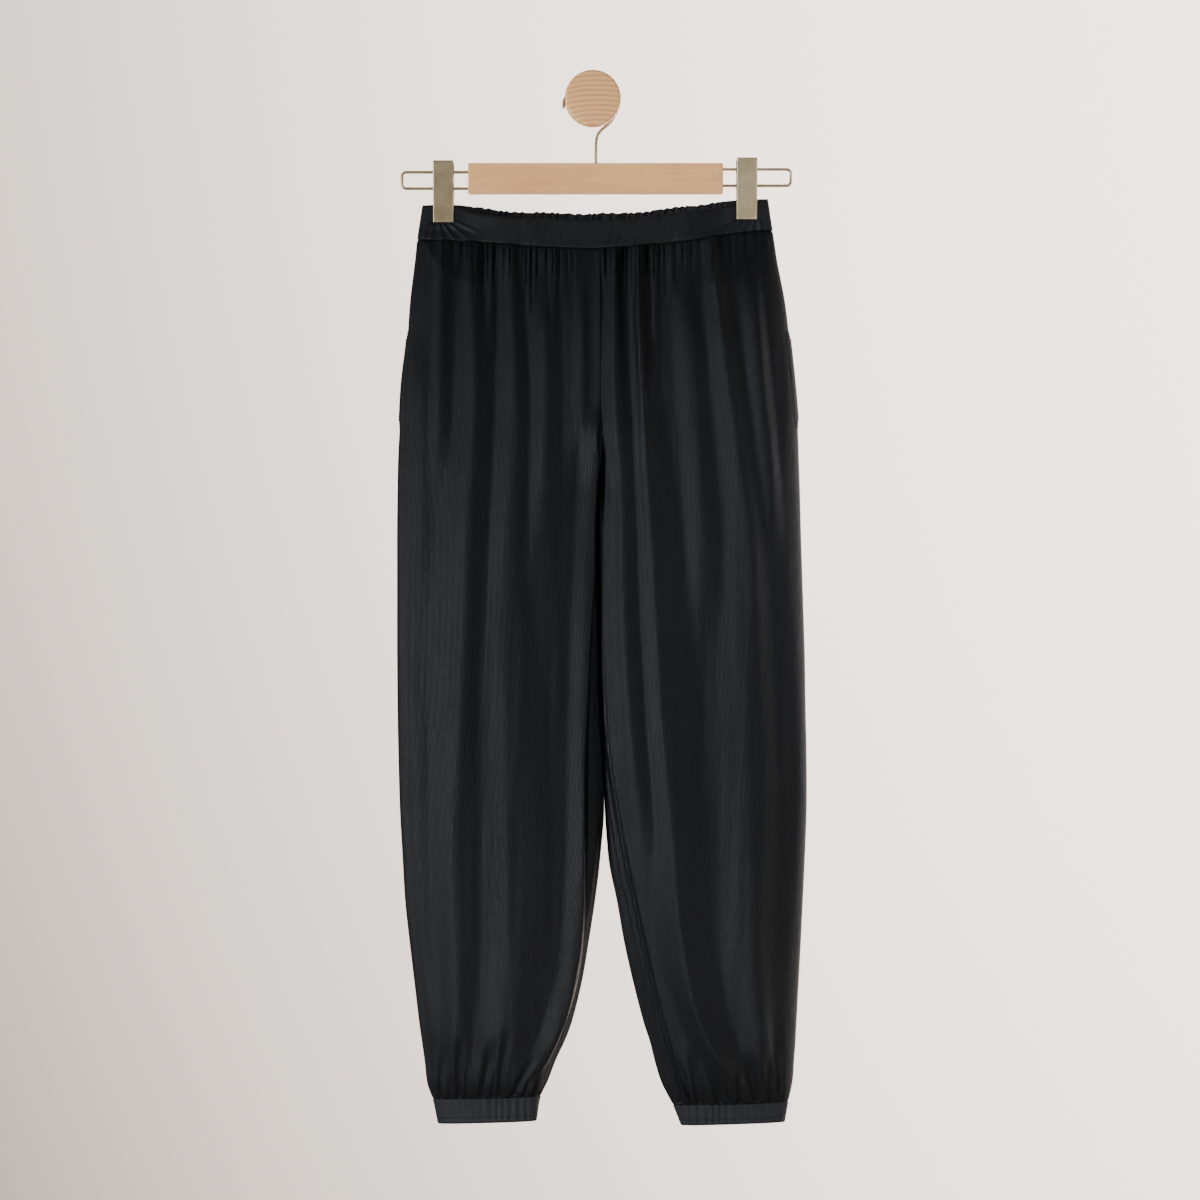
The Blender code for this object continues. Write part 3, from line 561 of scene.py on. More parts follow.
def grid_mesh(name, grids, ring, material, uv=None):
    """Closed shell between an outer and an inner grid of points."""
    outer, inner = grids
    rows, columns = outer.shape[:2]
    points = np.concatenate((outer.reshape(-1, 3), inner.reshape(-1, 3)))
    index = np.arange(rows * columns).reshape(rows, columns)
    shift = rows * columns
    around = np.concatenate((index, index[:, :1]), axis=1) if ring else index

    def cells(*corners):
        return np.stack(corners, axis=-1).reshape(-1, 4)

    outside = cells(around[:-1, :-1], around[1:, :-1], around[1:, 1:], around[:-1, 1:])
    rims = [around[0], around[-1, ::-1]]
    if not ring:
        rims += [index[::-1, 0], index[:, -1]]
    faces = [outside, outside[:, ::-1] + shift]
    faces += [cells(rim[:-1] + shift, rim[:-1], rim[1:], rim[1:] + shift) for rim in rims]
    mesh = bpy.data.meshes.new(name)
    mesh.from_pydata(points * MM, [], np.concatenate(faces).tolist())
    mesh.update()
    if folded_volume(mesh) < 0.0:
        mesh.flip_normals()
    if uv is not None:
        layer = mesh.uv_layers.new(name="cloth")
        corners = np.empty(len(mesh.loops), dtype=np.int32)
        mesh.loops.foreach_get("vertex_index", corners)
        flat = np.concatenate((uv.reshape(-1, 2),) * 2)[corners]
        layer.data.foreach_set("uv", (flat * MM).ravel())
    return smooth_piece(name, mesh, material, 60.0)


def smooth_piece(name, mesh, material, sharp):
    """Smooth but for the edges that turn by more than an angle in degrees."""
    mesh.materials.append(material)
    mesh.shade_smooth()
    mesh.set_sharp_from_angle(angle=math.radians(sharp))
    return linked(name, mesh)


def linked(name, data):
    """A new object, in the scene."""
    item = bpy.data.objects.new(name, data)
    bpy.context.scene.collection.objects.link(item)
    return item


def folded_volume(mesh):
    """Volume of a closed mesh, below zero when it is inside out."""
    shell = bmesh.new()
    shell.from_mesh(mesh)
    volume = shell.calc_volume(signed=True)
    shell.free()
    return volume


def to_world(x, y, down):
    return np.stack((x, y + HANGER_Y, WAIST_Z - down), axis=-1)


def cloth_layers(half, drop, turn, normals, down, layers):
    """The cloth's face and its inside: each a section inset, then leaned outwards."""
    grids = []
    for inset, lean in layers:
        x, y = section(half, drop, turn, inset)
        grids.append(to_world(x + normals[0] * lean, y + normals[1] * lean, down))
    return grids


PANEL_COLUMNS = {"front": 280, "back": 200}


def panel_levels(half):
    """Levels of the rows down a panel, close together at the gathers."""
    stops = ((SEAM_LEVEL, 6), (44.0, 26), (95.0, 34), (250.0, 22), (340.0, 52), (830.0, 26),
             (half.hem - 8.0, 6), (half.hem, 0))
    levels = []
    for (start, count), (end, _) in zip(stops, stops[1:]):
        levels.extend(np.linspace(start, end, count, endpoint=False))
    return np.array(levels + [half.hem])


def panel_points(half, face, level, drop, run, whole, inset, lift):
    """Points of a panel's cloth at distances from its side seam, raised by a lift."""
    turn = run_turn(face, run)
    end = panel_end(half, face, drop)
    first, last = (0.0, end) if face == "back" else (-end, 0.0)
    x, y = section(half, drop, turn)
    normal_x, normal_y = outward(half, drop, turn, first, last)
    height = lift + panel_height(half, face, x, y, drop, level, run, whole - run)
    # Where the legs touch, the cloth at their inner folds isn't moved sideways.
    touching = ease((drop - RISE_START) / 2.0) * (1.0 - ease((drop - MEETING_END) / MEETING_FADE))
    touching = touching * (1.0 - ease(np.abs(inner_fold(half, drop) - x) / 4.0))
    sideways = normal_x * height * (1.0 - touching)
    down = drop + hem_shift(half, x, level)
    place_x, place_y = section(half, drop, turn, inset)
    return to_world(place_x + sideways, place_y + normal_y * height, down)


def make_panel(half, face, material):
    levels = panel_levels(half)
    level, share = np.meshgrid(levels, np.linspace(0.0, 1.0, PANEL_COLUMNS[face]),
                               indexing="ij")
    whole = panel_run(half, face, level)
    x, _ = section(half, level, run_turn(face, share * whole))
    drop = seam_drop(x, level)
    whole = panel_run(half, face, drop)
    run = share * whole
    grids = [panel_points(half, face, level, drop, run, whole, inset, 0.0)
             for inset in (0.0, PANEL_WALL)]
    uv = np.stack((run, 1000.0 - drop), axis=-1)
    return grid_mesh(f"cloth_{face}_{half.name}", grids, False, material, uv)


BAND_COLUMNS = 420
BAND_ROWS = 34
BAND_ENDS = (-183.0, 188.5)
BAND_RUN = 208.0


def crease_height(creases, x, drop):
    height = np.zeros_like(x)
    for crease in creases:
        run_x = crease.x_end - crease.x_start
        run_drop = crease.drop_end - crease.drop_start
        length = math.hypot(run_x, run_drop)
        part = ((x - crease.x_start) * run_x + (drop - crease.drop_start) * run_drop) / length ** 2
        away = ((x - crease.x_start) * run_drop - (drop - crease.drop_start) * run_x) / length
        width = crease.width * (0.6 + 0.6 * np.clip(part, 0.0, 1.0))
        ends = ease(3.0 * part + 0.5) * ease(3.0 * (1.0 - part) + 0.5)
        height += crease.height * ease(1.0 - np.abs(away) / width) * ends
    return height


def rounded_rim(edge, rounding):
    """How far the cloth's face draws back towards an edge, for a rounded rim."""
    return rounding * (1.0 - np.sqrt(np.clip(edge / (1.5 * rounding), 0.0, 1.0)))


def make_waistband(face, material):
    """Front half: a smooth doubled band. Back half: ruched by the elastic in it."""
    back = face == "back"
    half_columns = BAND_COLUMNS // 2
    turns = np.interp(np.linspace(0.0, LENGTHS[len(TURNS) // 2], half_columns), LENGTHS, TURNS)
    pieces = {}
    climb = np.linspace(0.0, 1.0, BAND_ROWS)
    for half in (RIGHT, LEFT):
        turn = (turns if back else -turns)[None, :]
        x, _ = section(half, np.full_like(turn, SEAM_LEVEL), turn)
        top = along(WAIST_EDGES, f"{face}_top", x)
        bottom = waist_seam(x)
        if back:
            ends = np.minimum(np.abs(x - BAND_ENDS[0]), np.abs(x - BAND_ENDS[1]))
            ruched = ease((ends - 40.0) / 18.0)
            bend = x + 2.6 * np.sin(x / 7.3) + 1.7 * np.sin(x / 3.1)
            wave = 0.7 * np.sin(math.tau * bend / RUCHE_PITCH) + 0.3 * np.sin(bend / 0.62)
            top = top - ruched * (0.9 * wave + 0.5 * np.sin(x / 11.0))
        drop = bottom + (top - bottom) * climb[::-1][:, None]
        turn = turn + 0.0 * drop
        x, _ = section(half, drop, turn)
        first, last = (0.0, math.pi) if back else (-math.pi, 0.0)
        normals = outward(half, drop, turn, first, last)
        edge = np.minimum(drop - top, bottom - drop)
        if back:
            body = wave * ruched * (0.85 + 0.15 * np.sin(x / 9.0))
            height = RUCHE_HEIGHT * body * ease(edge / 5.0 + 0.45)
        else:
            height = crease_height(BAND_CREASES, x, drop) + 0.5 * ripple(x, 3.0 * drop, 7.0)
            under_clip = np.zeros_like(x)
            for clip in CLIPS:
                beside = ease((16.0 - np.abs(x - clip.x)) / 4.0)
                jaw_end = WAIST_Z - (clip.barrel_z - 44.0)
                under_clip = np.maximum(under_clip, beside * ease((jaw_end + 3.0 - drop) / 4.0))
            height = np.minimum(height, height * (1.0 - under_clip) - 0.1 * under_clip)
        height = height * ease((np.abs(turn) + 0.02) / 0.2)
        rim = rounded_rim(edge, 0.9)
        grids = cloth_layers(half, drop, turn, normals, drop,
                             ((0.0, height - rim), (WAISTBAND_WALL, height + rim)))
        run = np.interp(np.abs(turn), TURNS, LENGTHS)
        pieces[half.name] = (grids, np.stack((half.side * (run - BAND_RUN), 100.0 - drop), axis=-1))
    joined = [np.concatenate((right, left[:, -2::-1]), axis=1)
              for right, left in zip(pieces["right"][0], pieces["left"][0])]
    uv = np.concatenate((pieces["right"][1], pieces["left"][1][:, -2::-1]), axis=1)
    return grid_mesh(f"cloth_waistband_{face}", joined, False, material, uv)


CUFF_COLUMNS = 300
CUFF_ROWS = 26
CUFF_RUN = 260.0


def make_cuff(half, material):
    """Elasticated band, doubled, with slight ruches and a rounded lower edge."""
    part = np.linspace(0.0, 1.0, CUFF_ROWS)[:, None]
    share = np.linspace(0.0, 1.0, CUFF_COLUMNS, endpoint=False)[None, :]
    level = half.hem + (half.cuff_end - half.hem) * part
    level = level + 0.0 * share
    turn = np.interp(share * LENGTHS[-1], LENGTHS, TURNS) + 0.0 * part
    x, _ = section(half, level, turn)
    normals = outward(half, level, turn, -math.pi, 3.0 * math.pi)
    edge = np.minimum(level - half.hem, half.cuff_end - level)
    inner_side = ease((np.abs(x - along(half.rows, "outer", level)) - 45.0) / 30.0)
    wave = np.sin(math.tau * (x + 1.2 * np.sin(x / 5.1)) / 7.5)
    height = 0.32 * wave * (0.3 + 0.7 * inner_side) * ease(edge / 4.0 + 0.3)
    height = height - 0.5 * bell(level - half.cuff_end + 5.0, 0.7)
    height = height * ease(np.abs(np.sin(turn)) / 0.3 + 0.2)
    down = level + hem_shift(half, x, level)
    rim = rounded_rim(edge, 0.8)
    grids = cloth_layers(half, level, turn, normals, down,
                         ((0.0, height - rim), (CUFF_WALL, rim)))
    uv = np.stack((share * CUFF_RUN + 0.0 * part, 1000.0 - level), axis=-1)
    return grid_mesh(f"cloth_cuff_{half.name}", grids, True, material, uv)


# --- Sewing ---

STITCH_PITCH = 3.2
STITCH_LENGTH = 2.5
STITCH_RADIUS = 0.32
MOUTH_ROWS = (2.6, 7.8)
BAR_TACK_PITCH = 0.7
BAR_TACK_LENGTH = 7.5
POCKET_DROPS = np.linspace(POCKET_TOP + 2.0, POCKET_END - 2.0, 48)


def front_line(half, run, drop, lift):
    """Points on a front panel's cloth at distances from the side seam and drops."""
    drop = np.asarray(drop, float)[None, :]
    run = run + 0.0 * drop
    whole = panel_run(half, "front", drop)
    return panel_points(half, "front", drop, drop, run, whole, 0.0, lift)[0]


def new_socket(tree, name, kind, direction, value=None):
    socket = tree.interface.new_socket(name=name, in_out=direction, socket_type=kind)
    if value is not None:
        socket.default_value = value
    return socket.identifier


def add_node(tree, kind, settings=None, inputs=None):
    """A node with its settings, and each input set to a value or linked to an output."""
    node = tree.nodes.new(kind)
    for name, value in (settings or {}).items():
        setattr(node, name, value)
    for name, value in (inputs or {}).items():
        if isinstance(value, bpy.types.NodeSocket):
            tree.links.new(value, node.inputs[name])
        else:
            node.inputs[name].default_value = value
    return node


def stitch_tree():
    """Threads laid along a line: a short rounded stitch at each pitch, turned along it."""
    tree = bpy.data.node_groups.new("stitch rows", "GeometryNodeTree")
    new_socket(tree, "Geometry", "NodeSocketGeometry", "INPUT")
    keys = {name: new_socket(tree, name, "NodeSocketFloat", "INPUT", value * MM)
            for name, value in (("Pitch", STITCH_PITCH), ("Length", STITCH_LENGTH),
                                ("Radius", STITCH_RADIUS))}
    keys["Turn"] = new_socket(tree, "Turn", "NodeSocketFloat", "INPUT", 0.0)
    keys["Thread"] = new_socket(tree, "Thread", "NodeSocketMaterial", "INPUT")
    new_socket(tree, "Geometry", "NodeSocketGeometry", "OUTPUT")
    given = add_node(tree, "NodeGroupInput")
    line = add_node(tree, "GeometryNodeMeshToCurve", inputs={"Mesh": given.outputs["Geometry"]})
    dots = add_node(tree, "GeometryNodeResampleCurve", {"mode": "LENGTH"}, {
        "Curve": line.outputs["Curve"], "Length": given.outputs["Pitch"]})
    tangent = add_node(tree, "GeometryNodeInputTangent")
    face = add_node(tree, "GeometryNodeInputNamedAttribute", {"data_type": "FLOAT_VECTOR"},
                    {"Name": "cloth_normal"})
    lie = add_node(tree, "FunctionNodeAlignRotationToVector", {"axis": "X"},
                   {"Vector": tangent.outputs["Tangent"]})
    stand = add_node(tree, "FunctionNodeAlignRotationToVector",
                     {"axis": "Z", "pivot_axis": "X"},
                     {"Rotation": lie.outputs["Rotation"], "Vector": face.outputs["Attribute"]})
    spin = add_node(tree, "FunctionNodeAxisAngleToRotation", inputs={
        "Axis": (0.0, 0.0, 1.0), "Angle": given.outputs["Turn"]})
    turned = add_node(tree, "FunctionNodeRotateRotation", {"rotation_space": "LOCAL"}, {
        "Rotation": stand.outputs["Rotation"], "Rotate By": spin.outputs["Rotation"]})
    ball = add_node(tree, "GeometryNodeMeshUVSphere", inputs={
        "Segments": 6, "Rings": 4, "Radius": 1.0})
    half_length = add_node(tree, "ShaderNodeMath", {"operation": "MULTIPLY"}, {
        0: given.outputs["Length"], 1: 0.5})
    size = add_node(tree, "ShaderNodeCombineXYZ", inputs={
        "X": half_length.outputs["Value"], "Y": given.outputs["Radius"],
        "Z": given.outputs["Radius"]})
    shaped = add_node(tree, "GeometryNodeTransform", inputs={
        "Geometry": ball.outputs["Mesh"], "Scale": size.outputs["Vector"]})
    laid = add_node(tree, "GeometryNodeInstanceOnPoints", inputs={
        "Points": dots.outputs["Curve"], "Instance": shaped.outputs["Geometry"],
        "Rotation": turned.outputs["Rotation"]})
    real = add_node(tree, "GeometryNodeRealizeInstances",
                    inputs={"Geometry": laid.outputs["Instances"]})
    smooth = add_node(tree, "GeometryNodeSetShadeSmooth",
                      inputs={"Geometry": real.outputs["Geometry"]})
    painted = add_node(tree, "GeometryNodeSetMaterial", inputs={
        "Geometry": smooth.outputs["Geometry"], "Material": given.outputs["Thread"]})
    add_node(tree, "NodeGroupOutput", inputs={"Geometry": painted.outputs["Geometry"]})
    return tree, keys


def make_stitches(name, lines, tree, keys, thread, pitch, length, turn):
    """One piece of stitches along lines of points, each point with the cloth's normal."""
    edges = []
    for line, _ in lines:
        start = len(edges) + len(edges) // (len(line) - 1)
        edges.extend((start + i, start + i + 1) for i in range(len(line) - 1))
    points, normals = (np.concatenate(values) for values in zip(*lines))
    mesh = bpy.data.meshes.new(name)
    mesh.from_pydata(points * MM, edges, [])
    facing = mesh.attributes.new("cloth_normal", "FLOAT_VECTOR", "POINT")
    facing.data.foreach_set("vector", normals.astype(np.float32).ravel())
    guide = linked(name + "_guide", mesh)
    rows = guide.modifiers.new("stitches", "NODES")
    rows.node_group = tree
    for key, value in (("Pitch", pitch * MM), ("Length", length * MM),
                       ("Radius", STITCH_RADIUS * MM), ("Turn", turn), ("Thread", thread)):
        rows[keys[key]] = value
    return finished(name, guide)


def finished(name, guide):
    """A plain mesh of an object's modifiers or curve, in place of that object."""
    view = bpy.context.evaluated_depsgraph_get()
    mesh = bpy.data.meshes.new_from_object(guide.evaluated_get(view))
    mesh.name = name
    bpy.data.objects.remove(guide)
    return linked(name, mesh)


def mouth_line(half, run, drops, lift):
    """A line down the pocket mouth and the cloth's normal along it."""
    line = front_line(half, run, drops, lift)
    return line, front_line(half, run, drops, lift + 1.0) - line


def make_pocket_sewing(half, tree, keys, thread):
    rows = [mouth_line(half, run, POCKET_DROPS, 0.12) for run in MOUTH_ROWS]
    make = [make_stitches(f"sewn_pocket_rows_{half.name}", rows, tree, keys, thread,
                          STITCH_PITCH, STITCH_LENGTH, 0.0)]
    tacks = [mouth_line(half, MOUTH_ROWS[0] + 1.5, np.linspace(end - 3.0, end + 3.0, 12), 0.2)
             for end in (POCKET_TOP, POCKET_END)]
    make.append(make_stitches(f"sewn_pocket_tacks_{half.name}", tacks, tree, keys, thread,
                              BAR_TACK_PITCH, BAR_TACK_LENGTH, math.pi / 2.0))
    return make


# --- Hanger and peg ---

CLIP_WIDTH = 21.5
CLIP_PLATE = 1.2
CLIP_EDGE = 1.1
PLATE_PROFILE = ((19.5, 10.2), (8.0, 7.9), (0.0, 7.0), (-12.0, 6.2),
                 (-24.0, 4.4), (-31.0, 3.3), (-44.0, 3.3))
EAR_THICKNESS = 0.8
EAR_OUT = 7.3
EAR_ROOT = 5.4
EAR_TIP = 4.0
PIN_RADIUS = 1.3
PIN_REACH = 10.74
SPRING_WIRE = 0.8
SPRING_RADIUS = 5.6
SPRING_TURNS = 9
SPRING_HALF_WIDTH = 8.2

WIRE_RADIUS = 1.5
WIRE_SPACING = 17.0
WIRE_CORNER = 4.5
WIRE_DEPTH_IN_BAR = 14.0
WIRE_END_X = {"right": -198.6, "left": 205.8}
WIRE_Z = {"right": -81.5, "left": -78.5}
BAR_SIZE = (265.0, 12.0, 31.5)
BAR_CENTRE = (2.7, HANGER_Y, -79.8)
HOOK_RADIUS = 1.65
HOOK_DEPTH_IN_BAR = 14.0
HOOK_STEM_X = 3.1
HOOK_STEPS = 6
HOOK_PATH = ((-30.6, -5.2), (-29.0, 3.4), (-21.8, 10.0), (-11.4, 13.6), (0.0, 14.55),
             (10.4, 12.6), (19.6, 6.4), (24.4, -3.0), (22.9, -13.6), (16.6, -22.4),
             (10.0, -28.0), (5.4, -34.0), (3.4, -42.0), (HOOK_STEM_X, -52.0))
WIRE_SIDES = 20
PEG_PROFILE = ((0.0, 0.0), (0.0, 12.6), (44.4, 12.6), (45.0, 13.2), (45.0, 26.8),
               (45.4, 28.0), (46.4, 28.8), (47.4, 29.0), (56.4, 29.0), (57.6, 28.7),
               (58.6, 27.9), (59.2, 26.8), (59.4, 25.4), (59.4, 0.0))
PEG_STEPS = 96


def loft(shell, rings):
    """Closed skin over rings of points."""
    rings = [[shell.verts.new(Vector(point) * MM) for point in ring] for ring in rings]
    for upper, lower in zip(rings, rings[1:]):
        for k, corner in enumerate(upper):
            shell.faces.new((upper[k - 1], corner, lower[k], lower[k - 1]))
    shell.faces.new(rings[0][::-1])
    shell.faces.new(rings[-1])


def make_rods(name, rods, material, tips=0):
    """Round wires, each of a radius and a path, the first end rounded by tips more rings."""
    shell = bmesh.new()
    for radius, path in rods:
        path = [Vector(point) for point in path]
        headings = [(path[min(i + 1, len(path) - 1)] - path[max(i - 1, 0)]).normalized()
                    for i in range(len(path))]
        side = headings[0].orthogonal().normalized()
        stations = []
        for point, heading in zip(path, headings):
            side = (side - heading * side.dot(heading)).normalized()
            stations.append((point, side, heading.cross(side), radius))
        _, *first_frame, _ = stations[0]
        for tip in range(1, tips + 1):
            angle = math.pi / 2.0 * tip / (tips + 0.35)
            back = path[0] - headings[0] * radius * math.sin(angle)
            stations.insert(0, (back, *first_frame, radius * math.cos(angle)))
        angles = [math.tau * k / WIRE_SIDES for k in range(WIRE_SIDES)]
        loft(shell, [[point + size * (first * math.cos(angle) + second * math.sin(angle))
                      for angle in angles] for point, first, second, size in stations])
    return shell_piece(name, shell, material, 50.0)


def shell_piece(name, shell, material, sharp):
    """Finished piece of closed shells, their faces turned outwards."""
    bmesh.ops.recalc_face_normals(shell, faces=shell.faces)
    mesh = bpy.data.meshes.new(name)
    shell.to_mesh(mesh)
    shell.free()
    return smooth_piece(name, mesh, material, sharp)


def make_wire_loop(side, material):
    sign = -1.0 if side == "right" else 1.0
    start = BAR_CENTRE[0] + sign * (BAR_SIZE[0] / 2.0 - WIRE_DEPTH_IN_BAR)
    upper = [(start, WIRE_SPACING / 2.0)]
    for angle in np.linspace(0.0, math.pi / 2.0, 9):
        upper.append((WIRE_END_X[side] - sign * WIRE_CORNER * (1.0 - math.sin(angle)),
                      WIRE_SPACING / 2.0 - WIRE_CORNER * (1.0 - math.cos(angle))))
    lower = [(x, -z) for x, z in upper[::-1]]
    route = [(x, HANGER_Y, WIRE_Z[side] + z) for x, z in upper + lower]
    return make_rods(f"wire_{side}", [(WIRE_RADIUS, route)], material)


def make_hook(material):
    top = BAR_CENTRE[2] + BAR_SIZE[2] / 2.0
    parts = np.linspace(0.0, 1.0, HOOK_STEPS * (len(HOOK_PATH) - 1) + 1)
    path = [(x, HANGER_Y, z) for x, z in zip(*(bent(way, parts) for way in zip(*HOOK_PATH)))]
    path.append((HOOK_STEM_X, HANGER_Y, top - HOOK_DEPTH_IN_BAR))
    return make_rods("wire_hook", [(HOOK_RADIUS, path)], material, tips=5)


def make_clip_plate(clip, face, material):
    """Pressed plate with rolled edges, and its two ears round the pin."""
    direction = -1.0 if face == "front" else 1.0
    ups, outs = zip(*PLATE_PROFILE)
    along_plate = np.concatenate([np.linspace(a, b, 9)[:-1] for a, b in zip(ups, ups[1:])]
                                 + [np.array(ups[-1:])])
    rim = CLIP_EDGE * np.linspace(0.0, 1.0, 6) ** 2
    along_plate = np.concatenate((ups[0] - rim[:-1], along_plate[2:-3], ups[-1] + rim[::-1]))
    out = np.interp(-along_plate, [-up for up in ups], outs)
    bend = np.array([out[max(i - 3, 0):i + 4].mean() for i in range(len(out))])
    out = np.where(np.abs(along_plate) < 40.0, bend, out)
    across = np.concatenate((-CLIP_WIDTH / 2.0 + rim, np.linspace(-9.0, 9.0, 13),
                             CLIP_WIDTH / 2.0 - rim[::-1]))
    end_distance = np.minimum(ups[0] - along_plate, along_plate - ups[-1])[:, None]
    side_distance = (CLIP_WIDTH / 2.0 - np.abs(across))[None, :]
    distance = np.minimum(end_distance, side_distance)
    short = np.maximum(CLIP_EDGE - distance, 0.0)
    rolled = CLIP_EDGE - np.sqrt(np.maximum(CLIP_EDGE ** 2 - short ** 2, 0.0))
    x = clip.x + across[None, :] + 0.0 * distance
    z = clip.barrel_z + along_plate[:, None] + 0.0 * distance
    grids = [np.stack((x, HANGER_Y + direction * (out[:, None] + rise), z), axis=-1)
             for rise in (CLIP_PLATE - rolled, 0.0 * distance)]
    plate = grid_mesh(f"{clip.name}_plate_{face}", grids, False, material)
    shell = bmesh.new()
    shell.from_mesh(plate.data)
    inner = 0.9 if face == "back" else 0.0
    for side in (-1.0, 1.0):
        outline = [(EAR_OUT, EAR_ROOT), *((-EAR_TIP * math.sin(angle), EAR_TIP * math.cos(angle))
                                          for angle in np.linspace(0.0, math.pi, 13)),
                   (EAR_OUT, -EAR_ROOT)]
        far = clip.x + side * (CLIP_WIDTH / 2.0 - inner)
        loft(shell, [[(place, HANGER_Y + direction * y, clip.barrel_z + z) for y, z in outline]
                     for place in (far - side * EAR_THICKNESS, far)])
    bpy.data.objects.remove(plate)
    return shell_piece(f"{clip.name}_plate_{face}", shell, material, 35.0)


def make_clip_spring(clip, steel):
    """Torsion spring wound round its pin, its legs pressing the plates' finger ends apart."""
    coil = [(-SPRING_HALF_WIDTH, -8.2, 15.0)]
    steps = SPRING_TURNS * 24
    for step in range(steps + 1):
        angle = math.tau * step / 24
        coil.append((-SPRING_HALF_WIDTH + 2.0 * SPRING_HALF_WIDTH * step / steps,
                     -SPRING_RADIUS * math.cos(angle), SPRING_RADIUS * math.sin(angle)))
    coil.append((SPRING_HALF_WIDTH, -SPRING_RADIUS - 1.4, 13.0))
    pin = [(-PIN_REACH, 0.0, 0.0), (PIN_REACH, 0.0, 0.0)]
    rods = [(radius, [(clip.x + x, HANGER_Y + y, clip.barrel_z + z) for x, y, z in path])
            for radius, path in ((SPRING_WIRE, coil), (PIN_RADIUS, pin))]
    return make_rods(f"{clip.name}_coil_and_pin", rods, steel)


def make_peg(material):
    shell = bmesh.new()
    profile = [shell.verts.new((radius * MM, -out * MM, 0.0)) for out, radius in PEG_PROFILE]
    edges = [shell.edges.new(pair) for pair in zip(profile, profile[1:])]
    bmesh.ops.spin(shell, geom=profile + edges, cent=(0.0, 0.0, 0.0), axis=(0.0, 1.0, 0.0),
                   angle=math.tau, steps=PEG_STEPS, use_merge=True)
    bmesh.ops.remove_doubles(shell, verts=shell.verts, dist=0.02 * MM)
    return shell_piece("peg_turned", shell, material, 50.0)


# --- Materials ---

def hex_colour(text):
    """sRGB hex to the linear colour that shaders use."""
    parts = [int(text[i:i + 2], 16) / 255.0 for i in (1, 3, 5)]
    linear = [p / 12.92 if p <= 0.04045 else ((p + 0.055) / 1.055) ** 2.4 for p in parts]
    return (*linear, 1.0)


def new_material(name, **values):
    """Material whose shader sockets hold the values that are the same all over."""
    material = bpy.data.materials.new(name)
    material.use_nodes = True
    shader = material.node_tree.nodes["Principled BSDF"]
    for socket, value in values.items():
        shader.inputs[socket.replace("_", " ")].default_value = value
    return material, material.node_tree, shader


def set_colours(ramp, stops):
    """Colours of a ramp's node at places from 0 to 1, and its output."""
    elements = ramp.color_ramp.elements
    elements[0].position, elements[0].color = stops[0][0], hex_colour(stops[0][1])
    elements[1].position, elements[1].color = stops[-1][0], hex_colour(stops[-1][1])
    for place, colour in stops[1:-1]:
        elements.new(place).color = hex_colour(colour)
    return ramp.outputs["Color"]


def paint(tree, shader, colour, roughness=None, normal=None):
    """Patterns linked to the shader's sockets."""
    for socket, output in (("Base Color", colour), ("Roughness", roughness), ("Normal", normal)):
        if output:
            tree.links.new(output, shader.inputs[socket])


